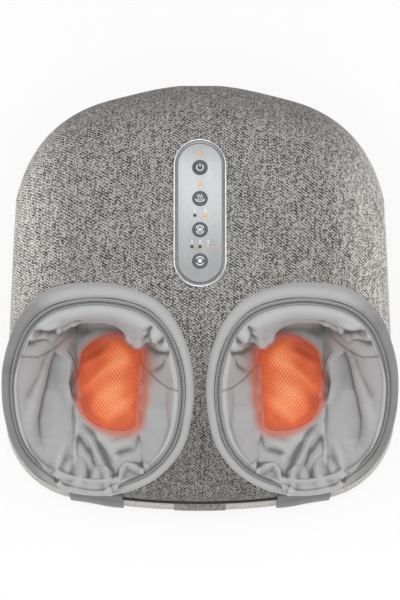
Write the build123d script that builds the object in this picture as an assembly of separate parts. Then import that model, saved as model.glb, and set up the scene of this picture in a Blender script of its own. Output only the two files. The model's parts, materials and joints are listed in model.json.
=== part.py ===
from build123d import *
import os
from math import acos, atan, ceil, cos, degrees, pi, radians, sin, sqrt, tan

# Shiatsu foot massager for two feet, in millimetres. +Z is up, the user stands on the -Y side, and the
# origin is on the floor under the middle of the base. Pieces that come in pairs are made for the right
# foot, at +X, and mirrored for the left.

# Whole body
BODY_WIDTH = 394.0
BODY_DEPTH = 406.0
FOOT_HEIGHT = 6.0
SKIRT_Z = 25.0
FRONT_RADIUS = 660.0
BACK_RADIUS = 340.0
FRONT_CORNER = 86.0
BACK_CORNER = 80.0
OVERRUN = 5.0
FAR = 300.0
SEAM_GAP = 0.3
SLIDE_FIT = 0.15
RUNNING_FIT = 0.05
ROUND_SIDES = 16
PLAIN_SIDES = 8
FACET_HEIGHT = 0.35
HIDDEN_FACET_HEIGHT = 1.0
CORNER_FACETS = 4

# Hood: a cloth cover over a moulded shell
HOOD_SETBACK = 5.0
HOOD_DRAFT = 5.0
FRONT_LIP_Z = 46.0
FRONT_LIP_RADIUS = 14.0
DECK_CENTRE_Y = 48.0
DECK_FRONT_REACH = 84.0
DECK_BACK_REACH = 80.0
DECK_CENTRE_Z = 177.0
DECK_TILT = 12.5
DECK_FRONT_RADIUS = 110.0
DECK_BACK_RADIUS = 90.0
BACK_EDGE_Z = 180.0
BACK_EDGE_RADIUS = 62.0
BACK_ROUNDS_SHARE = 0.46
CROWN_TILT = 14.0
CROWN_RISE = 4.0
CROWN_RADIUS = 380.0
SHOULDER_INSET = 7.0
SHOULDER_RADIUS = 70.0
CORNER_ROUNDS = ((22.0, 2.0), (46.0, 6.0), (68.0, 12.5))
CORNER_EASE = 1.5
SIDE_EASE = 0.9
CORNER_TOP_Z = 192.0
CORNER_RADIUS = 84.0
COVER_WALL = 1.6
SHELL_WALL = 2.5

# Base: tray, band, welt and feet
TRAY_FLOOR = 3.0
TRAY_WALL = 2.5
TRAY_LEDGE = 2.0
TRAY_LEDGE_INSET = 1.0
BAND_THICKNESS = 6.4
WELT_INSET = 1.6
WELT_HEIGHT = 3.0
FOOT_RADIUS = 13.0
FOOT_SIDE_INSET = 47.0
FOOT_FRONT_INSET = 63.0
FOOT_BACK_INSET = 73.0
FOOT_DRAFT = 8.0
VENT_COUNT = 7
VENT_LENGTH = 46.0
VENT_WIDTH = 3.0
VENT_PITCH = 8.0

# Cuff: the padded rim of a foot opening, seen along its own axis
CUFF_MIDDLE_GAP = 5.8
CUFF_SIDE_GAP = 7.2
CUFF_SHIFT = 4.0
CUFF_LIFT = 11.04
CUFF_TILT_EASE = 2.75
CUFF_OVERHANG = 8.49
CUFF_SIDE_RADIUS = 160.0
CUFF_HEEL_RADIUS = 107.0
CUFF_INSTEP_RADIUS = 130.0
CUFF_HEEL_CORNER = 84.0
CUFF_INSTEP_CORNER = 66.0
CUFF_CORNER_SHARE = 0.92
CUFF_RIM_WIDTH = 8.0
CUFF_RIM_HEIGHT = 14.0
CUFF_EDGE = 3.0
CUFF_FACET_HEIGHT = 0.55
CUFF_EDGE_TAPER = 40.0
CUFF_NECK_DEPTH = 76.0
ZIP_WIDTH = 6.7
ZIP_RECESS = 4.0
ZIP_THICKNESS = 2.0
OPENING_GAP = 1.0

# Heel flap: the plain grey patch on the front wall under each cuff
FLAP_SHIFT = 4.9
FLAP_WIDTH = 53.0
FLAP_THICKNESS = 1.2
FLAP_TOP_Z = 41.0

# Foot liner: a sewn boot that hangs from the zip
LINER_WALL = 2.0
LINER_FACET_HEIGHT = 1.2
LINER_MOUTH_RECESS = 1.5
LINER_THROAT_TAPER = 13.5
LINER_THROAT_DEPTH = 96.0
LINER_SIDE_GAP = 10.0
LINER_TOE_GAP = 9.0
CHAMBER_SET = 23.0
LINER_TOP_Z = 134.0
LINER_SOLE_CORNER = 18.0
LINER_TOP_CORNER = 48.0
LINER_TOE_CORNER = 48.0
MESH_WIDTH = 72.0
MESH_LENGTH = 118.0
MESH_SET = 35.0
MESH_CORNER = 24.0
MESH_THICKNESS = 1.5

# Air bag over the instep
BAG_THICKNESS = 5.0
BAG_GAP = 0.5
BAG_FRONT_Y = 12.0
BAG_TOE_GAP = 39.0
BAG_BOTTOM_Z = 72.0
BAG_PORT_RADIUS = 4.0
BAG_PORT_LENGTH = 2.5
PORT_NOTCH_GAP = 1.0
BAG_PORT_Y = 24.0
BAG_PORT_Z = 84.0

# Foot well: the rigid tub under the liner
WELL_FLOOR_TOP = 56.6
WELL_WALL = 2.6
WELL_MIDDLE_GAP = 18.0
WELL_SIDE_GAP = 35.0
WELL_FRONT_GAP = 22.0
WELL_BACK_GAP = 46.0
WELL_FRONT_CORNER = 58.0
WELL_BACK_CORNER = 44.0
WELL_SIDE_Z = 112.0
WELL_STEP_FRONT_Y = -14.0
WELL_STEP_BACK_Y = 16.0
WINDOW_RADIUS = 33.0
POST_RADIUS = 6.0
POST_SIDE_INSET = 16.0
POST_FRONT_INSET = 48.0
POST_BACK_INSET = 20.0
SCREW_HEAD_RADIUS = 4.0
SCREW_HEAD_HEIGHT = 2.2
SCREW_RECESS_GAP = 0.3
FILM_THICKNESS = 0.8

# Kneading drive of one foot: motor and worm, worm wheel and pinion, two discs with three heads each
PINION_Y = 5.0
GEAR_MODULE = 2.5
DISC_TEETH = 26
PINION_TEETH = 10
GEAR_ADDENDUM_SHARE = 0.85
GEAR_DEDENDUM_SHARE = 1.5
GEAR_TIP_WIDTH_SHARE = 0.08
GEAR_FACE = 6.0
WORM_MODULE = 1.25
WHEEL_TEETH = 22
WHEEL_TIP_WIDTH_SHARE = 0.12
WHEEL_FACE = 6.0
WORM_PITCH_RADIUS = 5.0
WORM_CORE_RADIUS = 3.5
WORM_LENGTH = 18.0
WORM_SHAFT_RADIUS = 2.5
DRIVE_SHAFT_RADIUS = 4.0
DISC_PIN_RADIUS = 4.0
HEAD_COUNT = 3
HEAD_SIDES = 10
HEAD_RADIUS = 10.0
HEAD_ORBIT = 19.0
HEAD_CROWN_TAPER = 50.0
HEAD_SHOULDER_SHARE = 0.62
CASE_WALL = 2.5
CASE_TOP_Z = 36.0
CASE_CLEARANCE = 1.5
CASE_HALF_LENGTH = 19.5
WORM_AXIS_Z = 23.0
PLATE_THICKNESS = 3.0
PLATE_HALF_WIDTH = 30.0
PLATE_OVERHANG = 34.0
PLATE_POST_RADIUS = 5.0
DISC_LIFT = 0.6
MOTOR_RADIUS = 12.5
MOTOR_LENGTH = 44.0
MOTOR_BORE_DEPTH = 12.0
MOTOR_CAP_RADIUS = 5.0
MOTOR_CAP_LENGTH = 3.0

# Control panel, seen along the deck's normal
PANEL_WIDTH = 50.5
PANEL_LENGTH = 143.0
PANEL_RIM_WIDTH = 3.5
PANEL_RIM_HEIGHT = 2.6
PANEL_RIM_EDGE = 0.8
PANEL_SKIRT_WALL = 1.5
PANEL_SKIRT_DEPTH = 6.4
PANEL_LEDGE = 1.7
PANEL_LEDGE_HEIGHT = 1.2
PANEL_PLATE_THICKNESS = 1.4
BUTTON_RADIUS = 7.0
BUTTON_PROUD = 1.2
BUTTON_EDGE = 0.5
EDGE_TAPER = 45.0
BUTTON_FLANGE = 1.0
BUTTON_FLANGE_HEIGHT = 1.2
BUTTON_TRAVEL = 0.8
BUTTON_PITCH = 30.1
BUTTON_FIRST_Y = 43.6
BUTTON_NAMES = ("power", "heat", "intensity", "mode")
LENS_RADIUS = 1.25
LENS_ROW_OFFSET = 13.8
LENS_PROUD = 0.3
LENS_DEPTH = 2.2
LENS_TRIPLE_PITCH = 7.6
LENS_PAIR_PITCH = 9.8
BOARD_THICKNESS = 1.6
SWITCH_SIZE = 4.5
SWITCH_GAP = 0.2

# Electronics and air system in the middle of the base
MAIN_BOARD_WIDTH = 66.0
MAIN_BOARD_LENGTH = 78.0
MAIN_BOARD_Y = -92.0
MAIN_BOARD_LIFT = 8.0
CHIP_SIZE = 14.0
CHIP_HEIGHT = 3.0
CAPACITOR_RADIUS = 5.0
CAPACITOR_HEIGHT = 14.0
BOARD_POST_RADIUS = 3.0
BOARD_POST_INSET = 6.0
PUMP_WIDTH = 30.0
PUMP_LENGTH = 46.0
PUMP_HEIGHT = 34.0
PUMP_Y = 86.0
PUMP_MOTOR_RADIUS = 12.0
PUMP_MOTOR_LENGTH = 30.0
VALVE_WIDTH = 30.0
VALVE_LENGTH = 26.0
VALVE_HEIGHT = 18.0
VALVE_Y = 24.0
VALVE_PORT_X = 8.0
VALVE_PORT_HEIGHT = 5.0
HOSE_RADIUS = 2.6
INLET_RADIUS = 5.5
INLET_LENGTH = 17.0
INLET_Z = 46.0
INLET_BORE_RADIUS = 2.8
INLET_BORE_DEPTH = 9.0
INLET_PIN_RADIUS = 0.9
INLET_NUT_RADIUS = 8.0
INLET_NUT_HEIGHT = 3.0
INLET_NUT_GAP = 0.4

# Levels that follow from the sizes above
TRAY_TOP = FOOT_HEIGHT + TRAY_FLOOR
SHELL_INSET = COVER_WALL + SEAM_GAP
SHELL_INNER = SHELL_INSET + SHELL_WALL
HOOD_FRONT_Y = HOOD_SETBACK - BODY_DEPTH / 2
HOOD_BACK_Y = -HOOD_FRONT_Y
DECK_FRONT_Y = DECK_CENTRE_Y - DECK_FRONT_REACH
DECK_BACK_Y = DECK_CENTRE_Y + DECK_BACK_REACH
BACK_ROUNDS = (DECK_BACK_RADIUS + BACK_EDGE_RADIUS) * BACK_ROUNDS_SHARE
BACK_FIT = min(1.0, (HOOD_BACK_Y - DECK_BACK_Y) / BACK_ROUNDS)
SHOULDER_REACH = BODY_WIDTH / 2 - SHOULDER_INSET
SLOPE_RUN = DECK_FRONT_Y - HOOD_FRONT_Y
SLOPE = (DECK_CENTRE_Z - DECK_FRONT_REACH * tan(radians(DECK_TILT)) - FRONT_LIP_Z) / SLOPE_RUN
CUFF_TILT = degrees(atan(SLOPE)) - CUFF_TILT_EASE
CUFF_HALF_WIDTH = (BODY_WIDTH / 2 - CUFF_MIDDLE_GAP - CUFF_SIDE_GAP) / 2
CUFF_HALF_LENGTH = SLOPE_RUN / (2 * cos(radians(CUFF_TILT))) + CUFF_OVERHANG
CUFF_X = CUFF_MIDDLE_GAP + CUFF_HALF_WIDTH
CUFF_Y = (HOOD_FRONT_Y + DECK_FRONT_Y) / 2 + CUFF_SHIFT
CUFF_Z = FRONT_LIP_Z + SLOPE * (CUFF_Y - HOOD_FRONT_Y) + CUFF_LIFT
WELL_HALF_WIDTH = (BODY_WIDTH / 2 - WELL_MIDDLE_GAP - WELL_SIDE_GAP) / 2
WELL_FRONT_Y = HOOD_FRONT_Y + WELL_FRONT_GAP
WELL_BACK_Y = HOOD_BACK_Y - WELL_BACK_GAP
LINER_X = WELL_MIDDLE_GAP + WELL_HALF_WIDTH
LINER_HALF_WIDTH = WELL_HALF_WIDTH - LINER_SIDE_GAP
LINER_TOE_Y = WELL_BACK_Y - LINER_TOE_GAP
LINER_START_Y = CUFF_Y + CHAMBER_SET
BAG_BACK_Y = LINER_TOE_Y - BAG_TOE_GAP
GEAR_DISTANCE = (DISC_TEETH + PINION_TEETH) * GEAR_MODULE / 2
DISC_FRONT_Y = PINION_Y - GEAR_DISTANCE
DISC_BACK_Y = PINION_Y + GEAR_DISTANCE
WELL_FLOOR_BOTTOM = WELL_FLOOR_TOP - WELL_WALL
SOLE_BOTTOM = WELL_FLOOR_TOP + FILM_THICKNESS + SEAM_GAP
SOLE_TOP = SOLE_BOTTOM + LINER_WALL
DRIVE_DISTANCE = (WHEEL_TEETH * WORM_MODULE) / 2 + WORM_PITCH_RADIUS
WORM_AXIS_X = LINER_X - DRIVE_DISTANCE
PLATE_TOP = CASE_TOP_Z + PLATE_THICKNESS
GEAR_BOTTOM = PLATE_TOP + DISC_LIFT
GEAR_TOP = GEAR_BOTTOM + GEAR_FACE
HEAD_TOP = WELL_FLOOR_TOP - SEAM_GAP
ZIP_OUTER_INSET = CUFF_RIM_WIDTH + SEAM_GAP
ZIP_INNER_INSET = ZIP_OUTER_INSET + ZIP_WIDTH
LINER_INSET = ZIP_INNER_INSET + SEAM_GAP
PANEL_SKIRT_INSET = PANEL_RIM_WIDTH + SLIDE_FIT


# Shared shapes
def bowed_outline(half_width, half_length, front_radius, back_radius, side_radius=0.0):
    """An outline of arcs about the origin, front at -Y, with sharp corners; no side radius, flat sides."""
    face = Pos(0, front_radius - half_length) * Circle(front_radius)
    face &= Pos(0, half_length - back_radius) * Circle(back_radius)
    if side_radius:
        face &= Pos(half_width - side_radius, 0) * Circle(side_radius)
        face &= Pos(side_radius - half_width, 0) * Circle(side_radius)
    else:
        face &= Rectangle(2 * half_width, 2 * half_length)
    return face


def rounded(face, front_corner, back_corner):
    """An outline with its two front and its two back corners rounded."""
    face = fillet([v for v in face.vertices() if v.Y < 0], front_corner)
    sharp = [v for v in face.vertices() if v.Y > 0]
    sharp = sorted(sharp, key=lambda v: v.Y)[-2:]
    return fillet(sharp, back_corner)


def body_plan(inset, height=FACET_HEIGHT):
    """The body's outline from above, drawn in by inset."""
    face = bowed_outline(
        BODY_WIDTH / 2 - inset, BODY_DEPTH / 2 - inset, FRONT_RADIUS - inset, BACK_RADIUS - inset
    )
    return faceted(rounded(face, FRONT_CORNER - inset, BACK_CORNER - inset), inset, height)


def faceted(face, inset, height=FACET_HEIGHT):
    """An outline of arcs turned into short straight sides, as many at every inset."""
    points = []
    for edge in face.faces()[0].outer_wire().order_edges():
        sides = 1
        if edge.geom_type == GeomType.CIRCLE:
            radius = edge.radius + inset
            turn = edge.length / edge.radius
            sides = ceil(turn / (2 * acos(1 - height / radius)))
        points += [edge @ (i / sides) for i in range(sides)]
    return make_face(Polyline(*points, close=True))


def soft_rectangle(width, length, front_corner, back_corner):
    """A rectangle about the origin with corners rounded by short straight sides."""
    points = []
    corners = (
        (1, 1, back_corner, 0), (-1, 1, back_corner, 90),
        (-1, -1, front_corner, 180), (1, -1, front_corner, 270),
    )
    for sx, sy, corner, start in corners:
        radius = min(corner, width / 2, length / 2)
        x, y = sx * (width / 2 - radius), sy * (length / 2 - radius)
        for i in range(CORNER_FACETS + 1):
            angle = radians(start + 90 * i / CORNER_FACETS)
            points.append((x + radius * cos(angle), y + radius * sin(angle)))
    return make_face(Polyline(*points, close=True))


def slab(sketch, bottom, top, taper=0.0):
    """A flat sketch made solid between two heights."""
    return extrude(Pos(0, 0, bottom) * sketch, top - bottom, taper=taper)


def ring_slab(outer, inner, bottom, top):
    """A band of material between two outlines and two heights."""
    return slab(outer, bottom, top) - slab(inner, bottom - OVERRUN, top + OVERRUN)


def flat_bore(shaft_radius):
    """The corner radius of a bore with flat sides in which a round shaft turns freely."""
    return (shaft_radius + RUNNING_FIT) / cos(pi / PLAIN_SIDES)


def shaft_at(radius, x, y, bottom, top):
    """An upright round shaft, or the bore for one."""
    return slab(Pos(x, y) * Circle(radius), bottom, top)


def post_at(radius, x, y, bottom, top, sides=PLAIN_SIDES):
    """An upright prism with a regular outline, for round pieces that need no true roundness."""
    return slab(Pos(x, y) * RegularPolygon(radius, sides), bottom, top)


def box_between(x0, x1, y0, y1, z0, z1):
    """A box between two corners."""
    return Pos((x0 + x1) / 2, (y0 + y1) / 2, (z0 + z1) / 2) * Box(x1 - x0, y1 - y0, z1 - z0)


def deck_z(y):
    """Height of the deck's plane at y."""
    return DECK_CENTRE_Z + (y - DECK_CENTRE_Y) * tan(radians(DECK_TILT))


# Hood
def hood_profile(inset):
    """The hood seen from its side: front lip, slope, deck and back edge, closed far below."""
    corners = (
        (HOOD_FRONT_Y, FRONT_LIP_Z, FRONT_LIP_RADIUS),
        (DECK_FRONT_Y, deck_z(DECK_FRONT_Y), DECK_FRONT_RADIUS),
        (DECK_BACK_Y, deck_z(DECK_BACK_Y), DECK_BACK_RADIUS * BACK_FIT),
        (HOOD_BACK_Y, BACK_EDGE_Z, BACK_EDGE_RADIUS * BACK_FIT),
    )
    path = [(HOOD_FRONT_Y, -FAR)] + [(y, z) for y, z, _ in corners] + [(HOOD_BACK_Y, -FAR)]
    face = make_face(Polyline(*path, close=True))
    if inset:
        face = offset(face, -inset, kind=Kind.INTERSECTION)
    for y, z, radius in corners:
        nearest = min(face.vertices(), key=lambda v: (v.X - y) ** 2 + (v.Y - z) ** 2)
        face = fillet(nearest, radius - inset)
    return face


def crown_profile(inset):
    """The hood seen along its slope: a crowned top with round shoulders, closed far below."""
    tilt = radians(CROWN_TILT)
    crest = DECK_CENTRE_Z * cos(tilt) - DECK_CENTRE_Y * sin(tilt) + CROWN_RISE - inset
    reach, radius = SHOULDER_REACH - inset, CROWN_RADIUS - inset
    drop = radius - sqrt(radius**2 - reach**2)
    left, right = (-reach, crest - drop), (reach, crest - drop)
    face = make_face(
        [
            ThreePointArc(left, (0, crest), right),
            Polyline(right, (reach, -FAR), (-reach, -FAR), left),
        ]
    )
    return fillet([v for v in face.vertices() if v.Y > 0], SHOULDER_RADIUS - inset)


def corner_round(inset, angle, draft, shape):
    """A block with a leaning, round-topped end that faces angle degrees off +Y, for a back corner."""
    lean = (CORNER_TOP_Z - SKIRT_Z) * tan(radians(draft))
    turned_plan = Rot(0, 0, angle) * body_plan(HOOD_SETBACK + inset)
    reach, top = turned_plan.bounding_box().max.Y + CORNER_EASE, CORNER_TOP_Z - inset
    path = ((-FAR, SKIRT_Z), (reach, SKIRT_Z), (reach - lean, top), (-FAR, top))
    face = make_face(Polyline(*path, close=True))
    face = fillet([v for v in face.vertices() if v.X > 0 and v.Y > SKIRT_Z], CORNER_RADIUS - inset)
    face = shape(face)
    turned = radians(angle)
    outward = Plane(
        origin=(0, 0, 0), x_dir=(sin(turned), cos(turned), 0), z_dir=(cos(turned), -sin(turned), 0)
    )
    return extrude(outward * face, 2 * FAR, both=True)


def draft_section(inset):
    """The hood seen from the front below its shoulders: side walls that lean in as they rise."""
    bottom = SKIRT_Z - OVERRUN
    half = BODY_WIDTH / 2 - HOOD_SETBACK - inset + SIDE_EASE
    lean = (FAR - bottom) * tan(radians(HOOD_DRAFT))
    path = ((-half, bottom), (half, bottom), (half - lean, FAR), (lean - half, FAR))
    return Plane.XZ * make_face(Polyline(*path, close=True))


def hood_block(inset, hidden=False):
    """The hood's form with every outer face drawn in by inset; a hidden face is made of flat facets."""
    def shape(face):
        return faceted(face, inset, HIDDEN_FACET_HEIGHT) if hidden else face

    tilt = radians(CROWN_TILT)
    along_slope = Plane(origin=(0, 0, 0), x_dir=(1, 0, 0), z_dir=(0, -cos(tilt), -sin(tilt)))
    plan = body_plan(HOOD_SETBACK + inset, HIDDEN_FACET_HEIGHT if hidden else FACET_HEIGHT)
    block = slab(plan, SKIRT_Z, FAR)
    block &= extrude(draft_section(inset), FAR, both=True)
    for angle, draft in CORNER_ROUNDS:
        block &= corner_round(inset, angle, draft, shape)
        block &= corner_round(inset, -angle, draft, shape)
    block &= extrude(Plane.YZ * shape(hood_profile(inset)), FAR, both=True)
    return block & extrude(along_slope * shape(crown_profile(inset)), 2 * FAR, both=True)


def cuff_plane():
    """The plane of the right foot opening's rim, its Z pointing out of the opening."""
    tilt = radians(CUFF_TILT)
    return Plane(origin=(CUFF_X, CUFF_Y, CUFF_Z), x_dir=(1, 0, 0), z_dir=(0, -sin(tilt), cos(tilt)))


def cuff_outline(inset, height=CUFF_FACET_HEIGHT):
    """The cuff's oval outline, drawn in by inset."""
    face = bowed_outline(
        CUFF_HALF_WIDTH - inset,
        CUFF_HALF_LENGTH - inset,
        CUFF_HEEL_RADIUS - inset,
        CUFF_INSTEP_RADIUS - inset,
        CUFF_SIDE_RADIUS - inset,
    )
    limit = CUFF_CORNER_SHARE * CUFF_HALF_WIDTH
    heel, instep = min(CUFF_HEEL_CORNER, limit), min(CUFF_INSTEP_CORNER, limit)
    face = rounded(face, heel - inset, instep - inset)
    return faceted(face, inset, height)


def deck_plane():
    """The plane of the deck that carries the panel, on the cover's outer face."""
    tilt = radians(DECK_TILT)
    return Plane(
        origin=(0, DECK_CENTRE_Y, DECK_CENTRE_Z), x_dir=(1, 0, 0), z_dir=(0, -sin(tilt), cos(tilt))
    )


def both_sides(solid):
    """A solid and its mirror image on the other foot."""
    return [solid, mirror(solid, Plane.YZ)]


def hood_openings():
    """What is cut from the cover and the shell: two foot openings, the panel's slot and the inlet's hole."""
    foot = cuff_outline(LINER_INSET - OPENING_GAP, LINER_FACET_HEIGHT)
    foot = cuff_plane() * slab(foot, -FAR, FAR)
    above = box_between(0, FAR, -FAR, FAR, WELL_FLOOR_BOTTOM - OPENING_GAP, FAR)
    panel = deck_plane() * slab(panel_outline(PANEL_RIM_WIDTH), -CUFF_RIM_HEIGHT, CUFF_RIM_HEIGHT)
    inlet_hole = RegularPolygon(INLET_RADIUS + SLIDE_FIT, ROUND_SIDES)
    inlet = inlet_axis() * slab(inlet_hole, -FAR / 2, FAR / 2)
    return both_sides(foot & above) + [panel, inlet]


def make_fabric_cover():
    """The cloth skin, a thin shell over the moulded one."""
    cover = hood_block(0) - hood_block(COVER_WALL, hidden=True)
    for cut in hood_openings():
        cover -= cut
    return cover


def make_hood_shell():
    """The moulded shell under the cloth."""
    shell = hood_block(SHELL_INSET, hidden=True) - hood_block(SHELL_INNER, hidden=True)
    for cut in hood_openings():
        shell -= cut
    half = INLET_NUT_RADIUS + OPENING_GAP
    seat = box_between(-half, half, 0, HOOD_BACK_Y - SHELL_INNER, INLET_Z - half, INLET_Z + half)
    return shell - seat


# Base
def make_base_tray():
    """The moulded tray: floor, wall under the shell, ledge under the band, posts and vents."""
    wall_inset = HOOD_SETBACK + SHELL_INSET
    tray = slab(body_plan(TRAY_LEDGE_INSET), FOOT_HEIGHT, FOOT_HEIGHT + TRAY_LEDGE)
    tray += slab(body_plan(wall_inset), FOOT_HEIGHT, SKIRT_Z)
    tray -= slab(body_plan(wall_inset + TRAY_WALL), TRAY_TOP, SKIRT_Z + OVERRUN)
    for x, y in post_places():
        tray += post_at(POST_RADIUS, x, y, TRAY_TOP, WELL_FLOOR_BOTTOM)
        tray -= post_at(SCREW_HEAD_RADIUS + SCREW_RECESS_GAP, x, y, 0, FOOT_HEIGHT + SCREW_HEAD_HEIGHT)
    for x, y in plate_post_places():
        tray += post_at(PLATE_POST_RADIUS, x, y, TRAY_TOP, CASE_TOP_Z)
    for x, y in board_post_places():
        tray += post_at(BOARD_POST_RADIUS, x, y, TRAY_TOP, TRAY_TOP + MAIN_BOARD_LIFT)
    for i in range(VENT_COUNT):
        y = PUMP_Y + (i - (VENT_COUNT - 1) / 2) * VENT_PITCH
        tray -= slab(Pos(0, y) * Rectangle(VENT_LENGTH, VENT_WIDTH), 0, TRAY_TOP + OVERRUN)
    return tray


def post_places():
    """Centres of the posts that carry the two foot wells."""
    offset_x = WELL_HALF_WIDTH - POST_SIDE_INSET
    front, back = WELL_FRONT_Y + POST_FRONT_INSET, WELL_BACK_Y - POST_BACK_INSET
    places = ((LINER_X, front), (LINER_X - offset_x, back), (LINER_X + offset_x, back))
    return [(side * x, y) for side in (-1, 1) for x, y in places]


def plate_post_places():
    """Centres of the posts under the ends of the two drive plates."""
    reach = PLATE_OVERHANG - PLATE_POST_RADIUS
    return [
        (side * LINER_X, y)
        for side in (-1, 1)
        for y in (DISC_FRONT_Y - reach, DISC_BACK_Y + reach)
    ]


def board_post_places():
    """Centres of the main board's four posts."""
    x = MAIN_BOARD_WIDTH / 2 - BOARD_POST_INSET
    y = MAIN_BOARD_LENGTH / 2 - BOARD_POST_INSET
    return [(sx * x, MAIN_BOARD_Y + sy * y) for sx in (-1, 1) for sy in (-1, 1)]


def make_rubber_feet():
    """Four round feet, slightly tapered, under the tray."""
    foot = extrude(RegularPolygon(FOOT_RADIUS, ROUND_SIDES), -FOOT_HEIGHT, taper=FOOT_DRAFT)
    foot_x = BODY_WIDTH / 2 - FOOT_SIDE_INSET
    foot_ys = (FOOT_FRONT_INSET - BODY_DEPTH / 2, BODY_DEPTH / 2 - FOOT_BACK_INSET)
    feet = [Pos(x, y, FOOT_HEIGHT) * foot for x in (-foot_x, foot_x) for y in foot_ys]
    return Compound(children=[f.solid() for f in feet])


def make_base_screws():
    """Screw heads in the tray's recesses, one under each foot well post."""
    top = FOOT_HEIGHT + SCREW_HEAD_HEIGHT
    heads = [
        post_at(SCREW_HEAD_RADIUS, x, y, FOOT_HEIGHT + SEAM_GAP, top) for x, y in post_places()
    ]
    return Compound(children=[h.solid() for h in heads])


def make_base_band():
    """The cloth-faced foam strip that goes round the base."""
    return ring_slab(body_plan(0), body_plan(BAND_THICKNESS), FOOT_HEIGHT + TRAY_LEDGE, SKIRT_Z)


def make_seam_piping():
    """The welt in the seam between the band and the hood's cover."""
    inner = body_plan(HOOD_SETBACK - SEAM_GAP)
    return ring_slab(body_plan(WELT_INSET), inner, SKIRT_Z, SKIRT_Z + WELT_HEIGHT)


# Cuffs
def make_collar():
    """The padded rim with its neck, which ends on the hood's cover."""
    rim = slab(cuff_outline(0), -CUFF_NECK_DEPTH, -CUFF_EDGE)
    rim += slab(cuff_outline(0), -CUFF_EDGE, 0, taper=CUFF_EDGE_TAPER)
    bore = slab(cuff_outline(ZIP_INNER_INSET), -FAR, OVERRUN)
    recess = slab(cuff_outline(CUFF_RIM_WIDTH), -ZIP_RECESS, OVERRUN)
    collar = cuff_plane() * (rim - bore - recess)
    collar -= hood_block(-SEAM_GAP)
    return largest_solid(collar - box_between(-FAR, FAR, -FAR, FAR, -FAR, SKIRT_Z))


def largest_solid(shape):
    """The biggest of a shape's solids, without the offcuts of a trim."""
    return max(shape.solids(), key=lambda s: s.volume)


def make_zipper():
    """The zip's two tapes and coil, closed round the opening, as one flat ring."""
    ring = ring_slab(
        cuff_outline(ZIP_OUTER_INSET),
        cuff_outline(ZIP_INNER_INSET),
        -ZIP_RECESS,
        -ZIP_RECESS + ZIP_THICKNESS,
    )
    return cuff_plane() * ring


def make_heel_flap():
    """A thin dark patch on the front wall under the cuff."""
    patch = hood_block(-SEAM_GAP - FLAP_THICKNESS) - hood_block(-SEAM_GAP)
    bottom = SKIRT_Z + WELT_HEIGHT + SEAM_GAP
    middle, half = CUFF_X + FLAP_SHIFT, FLAP_WIDTH / 2
    return patch & box_between(middle - half, middle + half, -FAR, 0, bottom, FLAP_TOP_Z)


# Foot liner
def liner_form(inset, mouth):
    """The boot's solid form, drawn in by inset, with its throat cut off at mouth above the rim's plane."""
    mouth_inset = LINER_INSET + inset - mouth * tan(radians(LINER_THROAT_TAPER))
    mouth_outline = Pos(0, 0, mouth) * cuff_outline(mouth_inset, LINER_FACET_HEIGHT)
    throat = extrude(mouth_outline, -LINER_THROAT_DEPTH - mouth, taper=LINER_THROAT_TAPER)
    throat = cuff_plane() * throat
    throat &= box_between(0, FAR, -FAR, LINER_TOE_Y - inset, SOLE_BOTTOM + inset, FAR)
    width = 2 * (LINER_HALF_WIDTH - inset)
    height = LINER_TOP_Z - SOLE_BOTTOM - 2 * inset
    section = soft_rectangle(width, height, LINER_SOLE_CORNER - inset, LINER_TOP_CORNER - inset)
    place = Plane(
        origin=(LINER_X, LINER_START_Y, SOLE_BOTTOM + inset + height / 2),
        x_dir=(1, 0, 0),
        z_dir=(0, -1, 0),
    )
    chamber = place * extrude(section, -(LINER_TOE_Y - inset - LINER_START_Y))
    corner = LINER_TOE_CORNER - inset
    plan = soft_rectangle(width, 2 * (LINER_TOE_Y - inset), corner, corner)
    chamber &= Pos(LINER_X, 0) * slab(plan, 0, FAR)
    return throat + chamber


def make_liner():
    """The sewn boot, open at its mouth."""
    return largest_solid(liner_form(0, -LINER_MOUTH_RECESS) - liner_form(LINER_WALL, OVERRUN))


def mesh_outline():
    """Outline of the mesh panel sewn into the sole."""
    return Pos(LINER_X, CUFF_Y + MESH_SET) * soft_rectangle(MESH_WIDTH, MESH_LENGTH, MESH_CORNER, MESH_CORNER)


def make_mesh_panel():
    """The mesh panel in the sole, through which the heat comes."""
    return slab(mesh_outline(), SOLE_TOP, SOLE_TOP + MESH_THICKNESS)


def make_heater_film():
    """The flat heater under the mesh panel."""
    return slab(mesh_outline(), WELL_FLOOR_TOP, WELL_FLOOR_TOP + FILM_THICKNESS)


def arch_section(reach):
    """The liner's section over the instep, grown by reach."""
    width = 2 * (LINER_HALF_WIDTH + reach)
    height = LINER_TOP_Z - SOLE_BOTTOM + reach
    section = soft_rectangle(width, height, LINER_SOLE_CORNER, LINER_TOP_CORNER + reach)
    place = Plane(
        origin=(LINER_X, BAG_FRONT_Y, SOLE_BOTTOM + height / 2), x_dir=(1, 0, 0), z_dir=(0, -1, 0)
    )
    return place * section


def make_airbag():
    """The flat bag that arches over the instep, with its hose port on the inner side."""
    length = BAG_BACK_Y - BAG_FRONT_Y
    outer = extrude(arch_section(BAG_GAP + BAG_THICKNESS), -length)
    inner = extrude(Pos(0, -OVERRUN, 0) * arch_section(BAG_GAP), -length - 2 * OVERRUN)
    bag = (outer - inner) & box_between(0, FAR, -FAR, FAR, BAG_BOTTOM_Z, FAR)
    return bag + bag_port()


def bag_side_x():
    """Where the bag's inner side stands."""
    return LINER_X - LINER_HALF_WIDTH - BAG_GAP - BAG_THICKNESS


def bag_port():
    """The nipple that the hose meets, level, on the bag's side."""
    face = Plane(origin=(bag_side_x(), BAG_PORT_Y, BAG_PORT_Z), x_dir=(0, 1, 0), z_dir=(-1, 0, 0))
    port = RegularPolygon(BAG_PORT_RADIUS, PLAIN_SIDES)
    return face * slab(port, -BAG_THICKNESS / 2, BAG_PORT_LENGTH)


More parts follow.
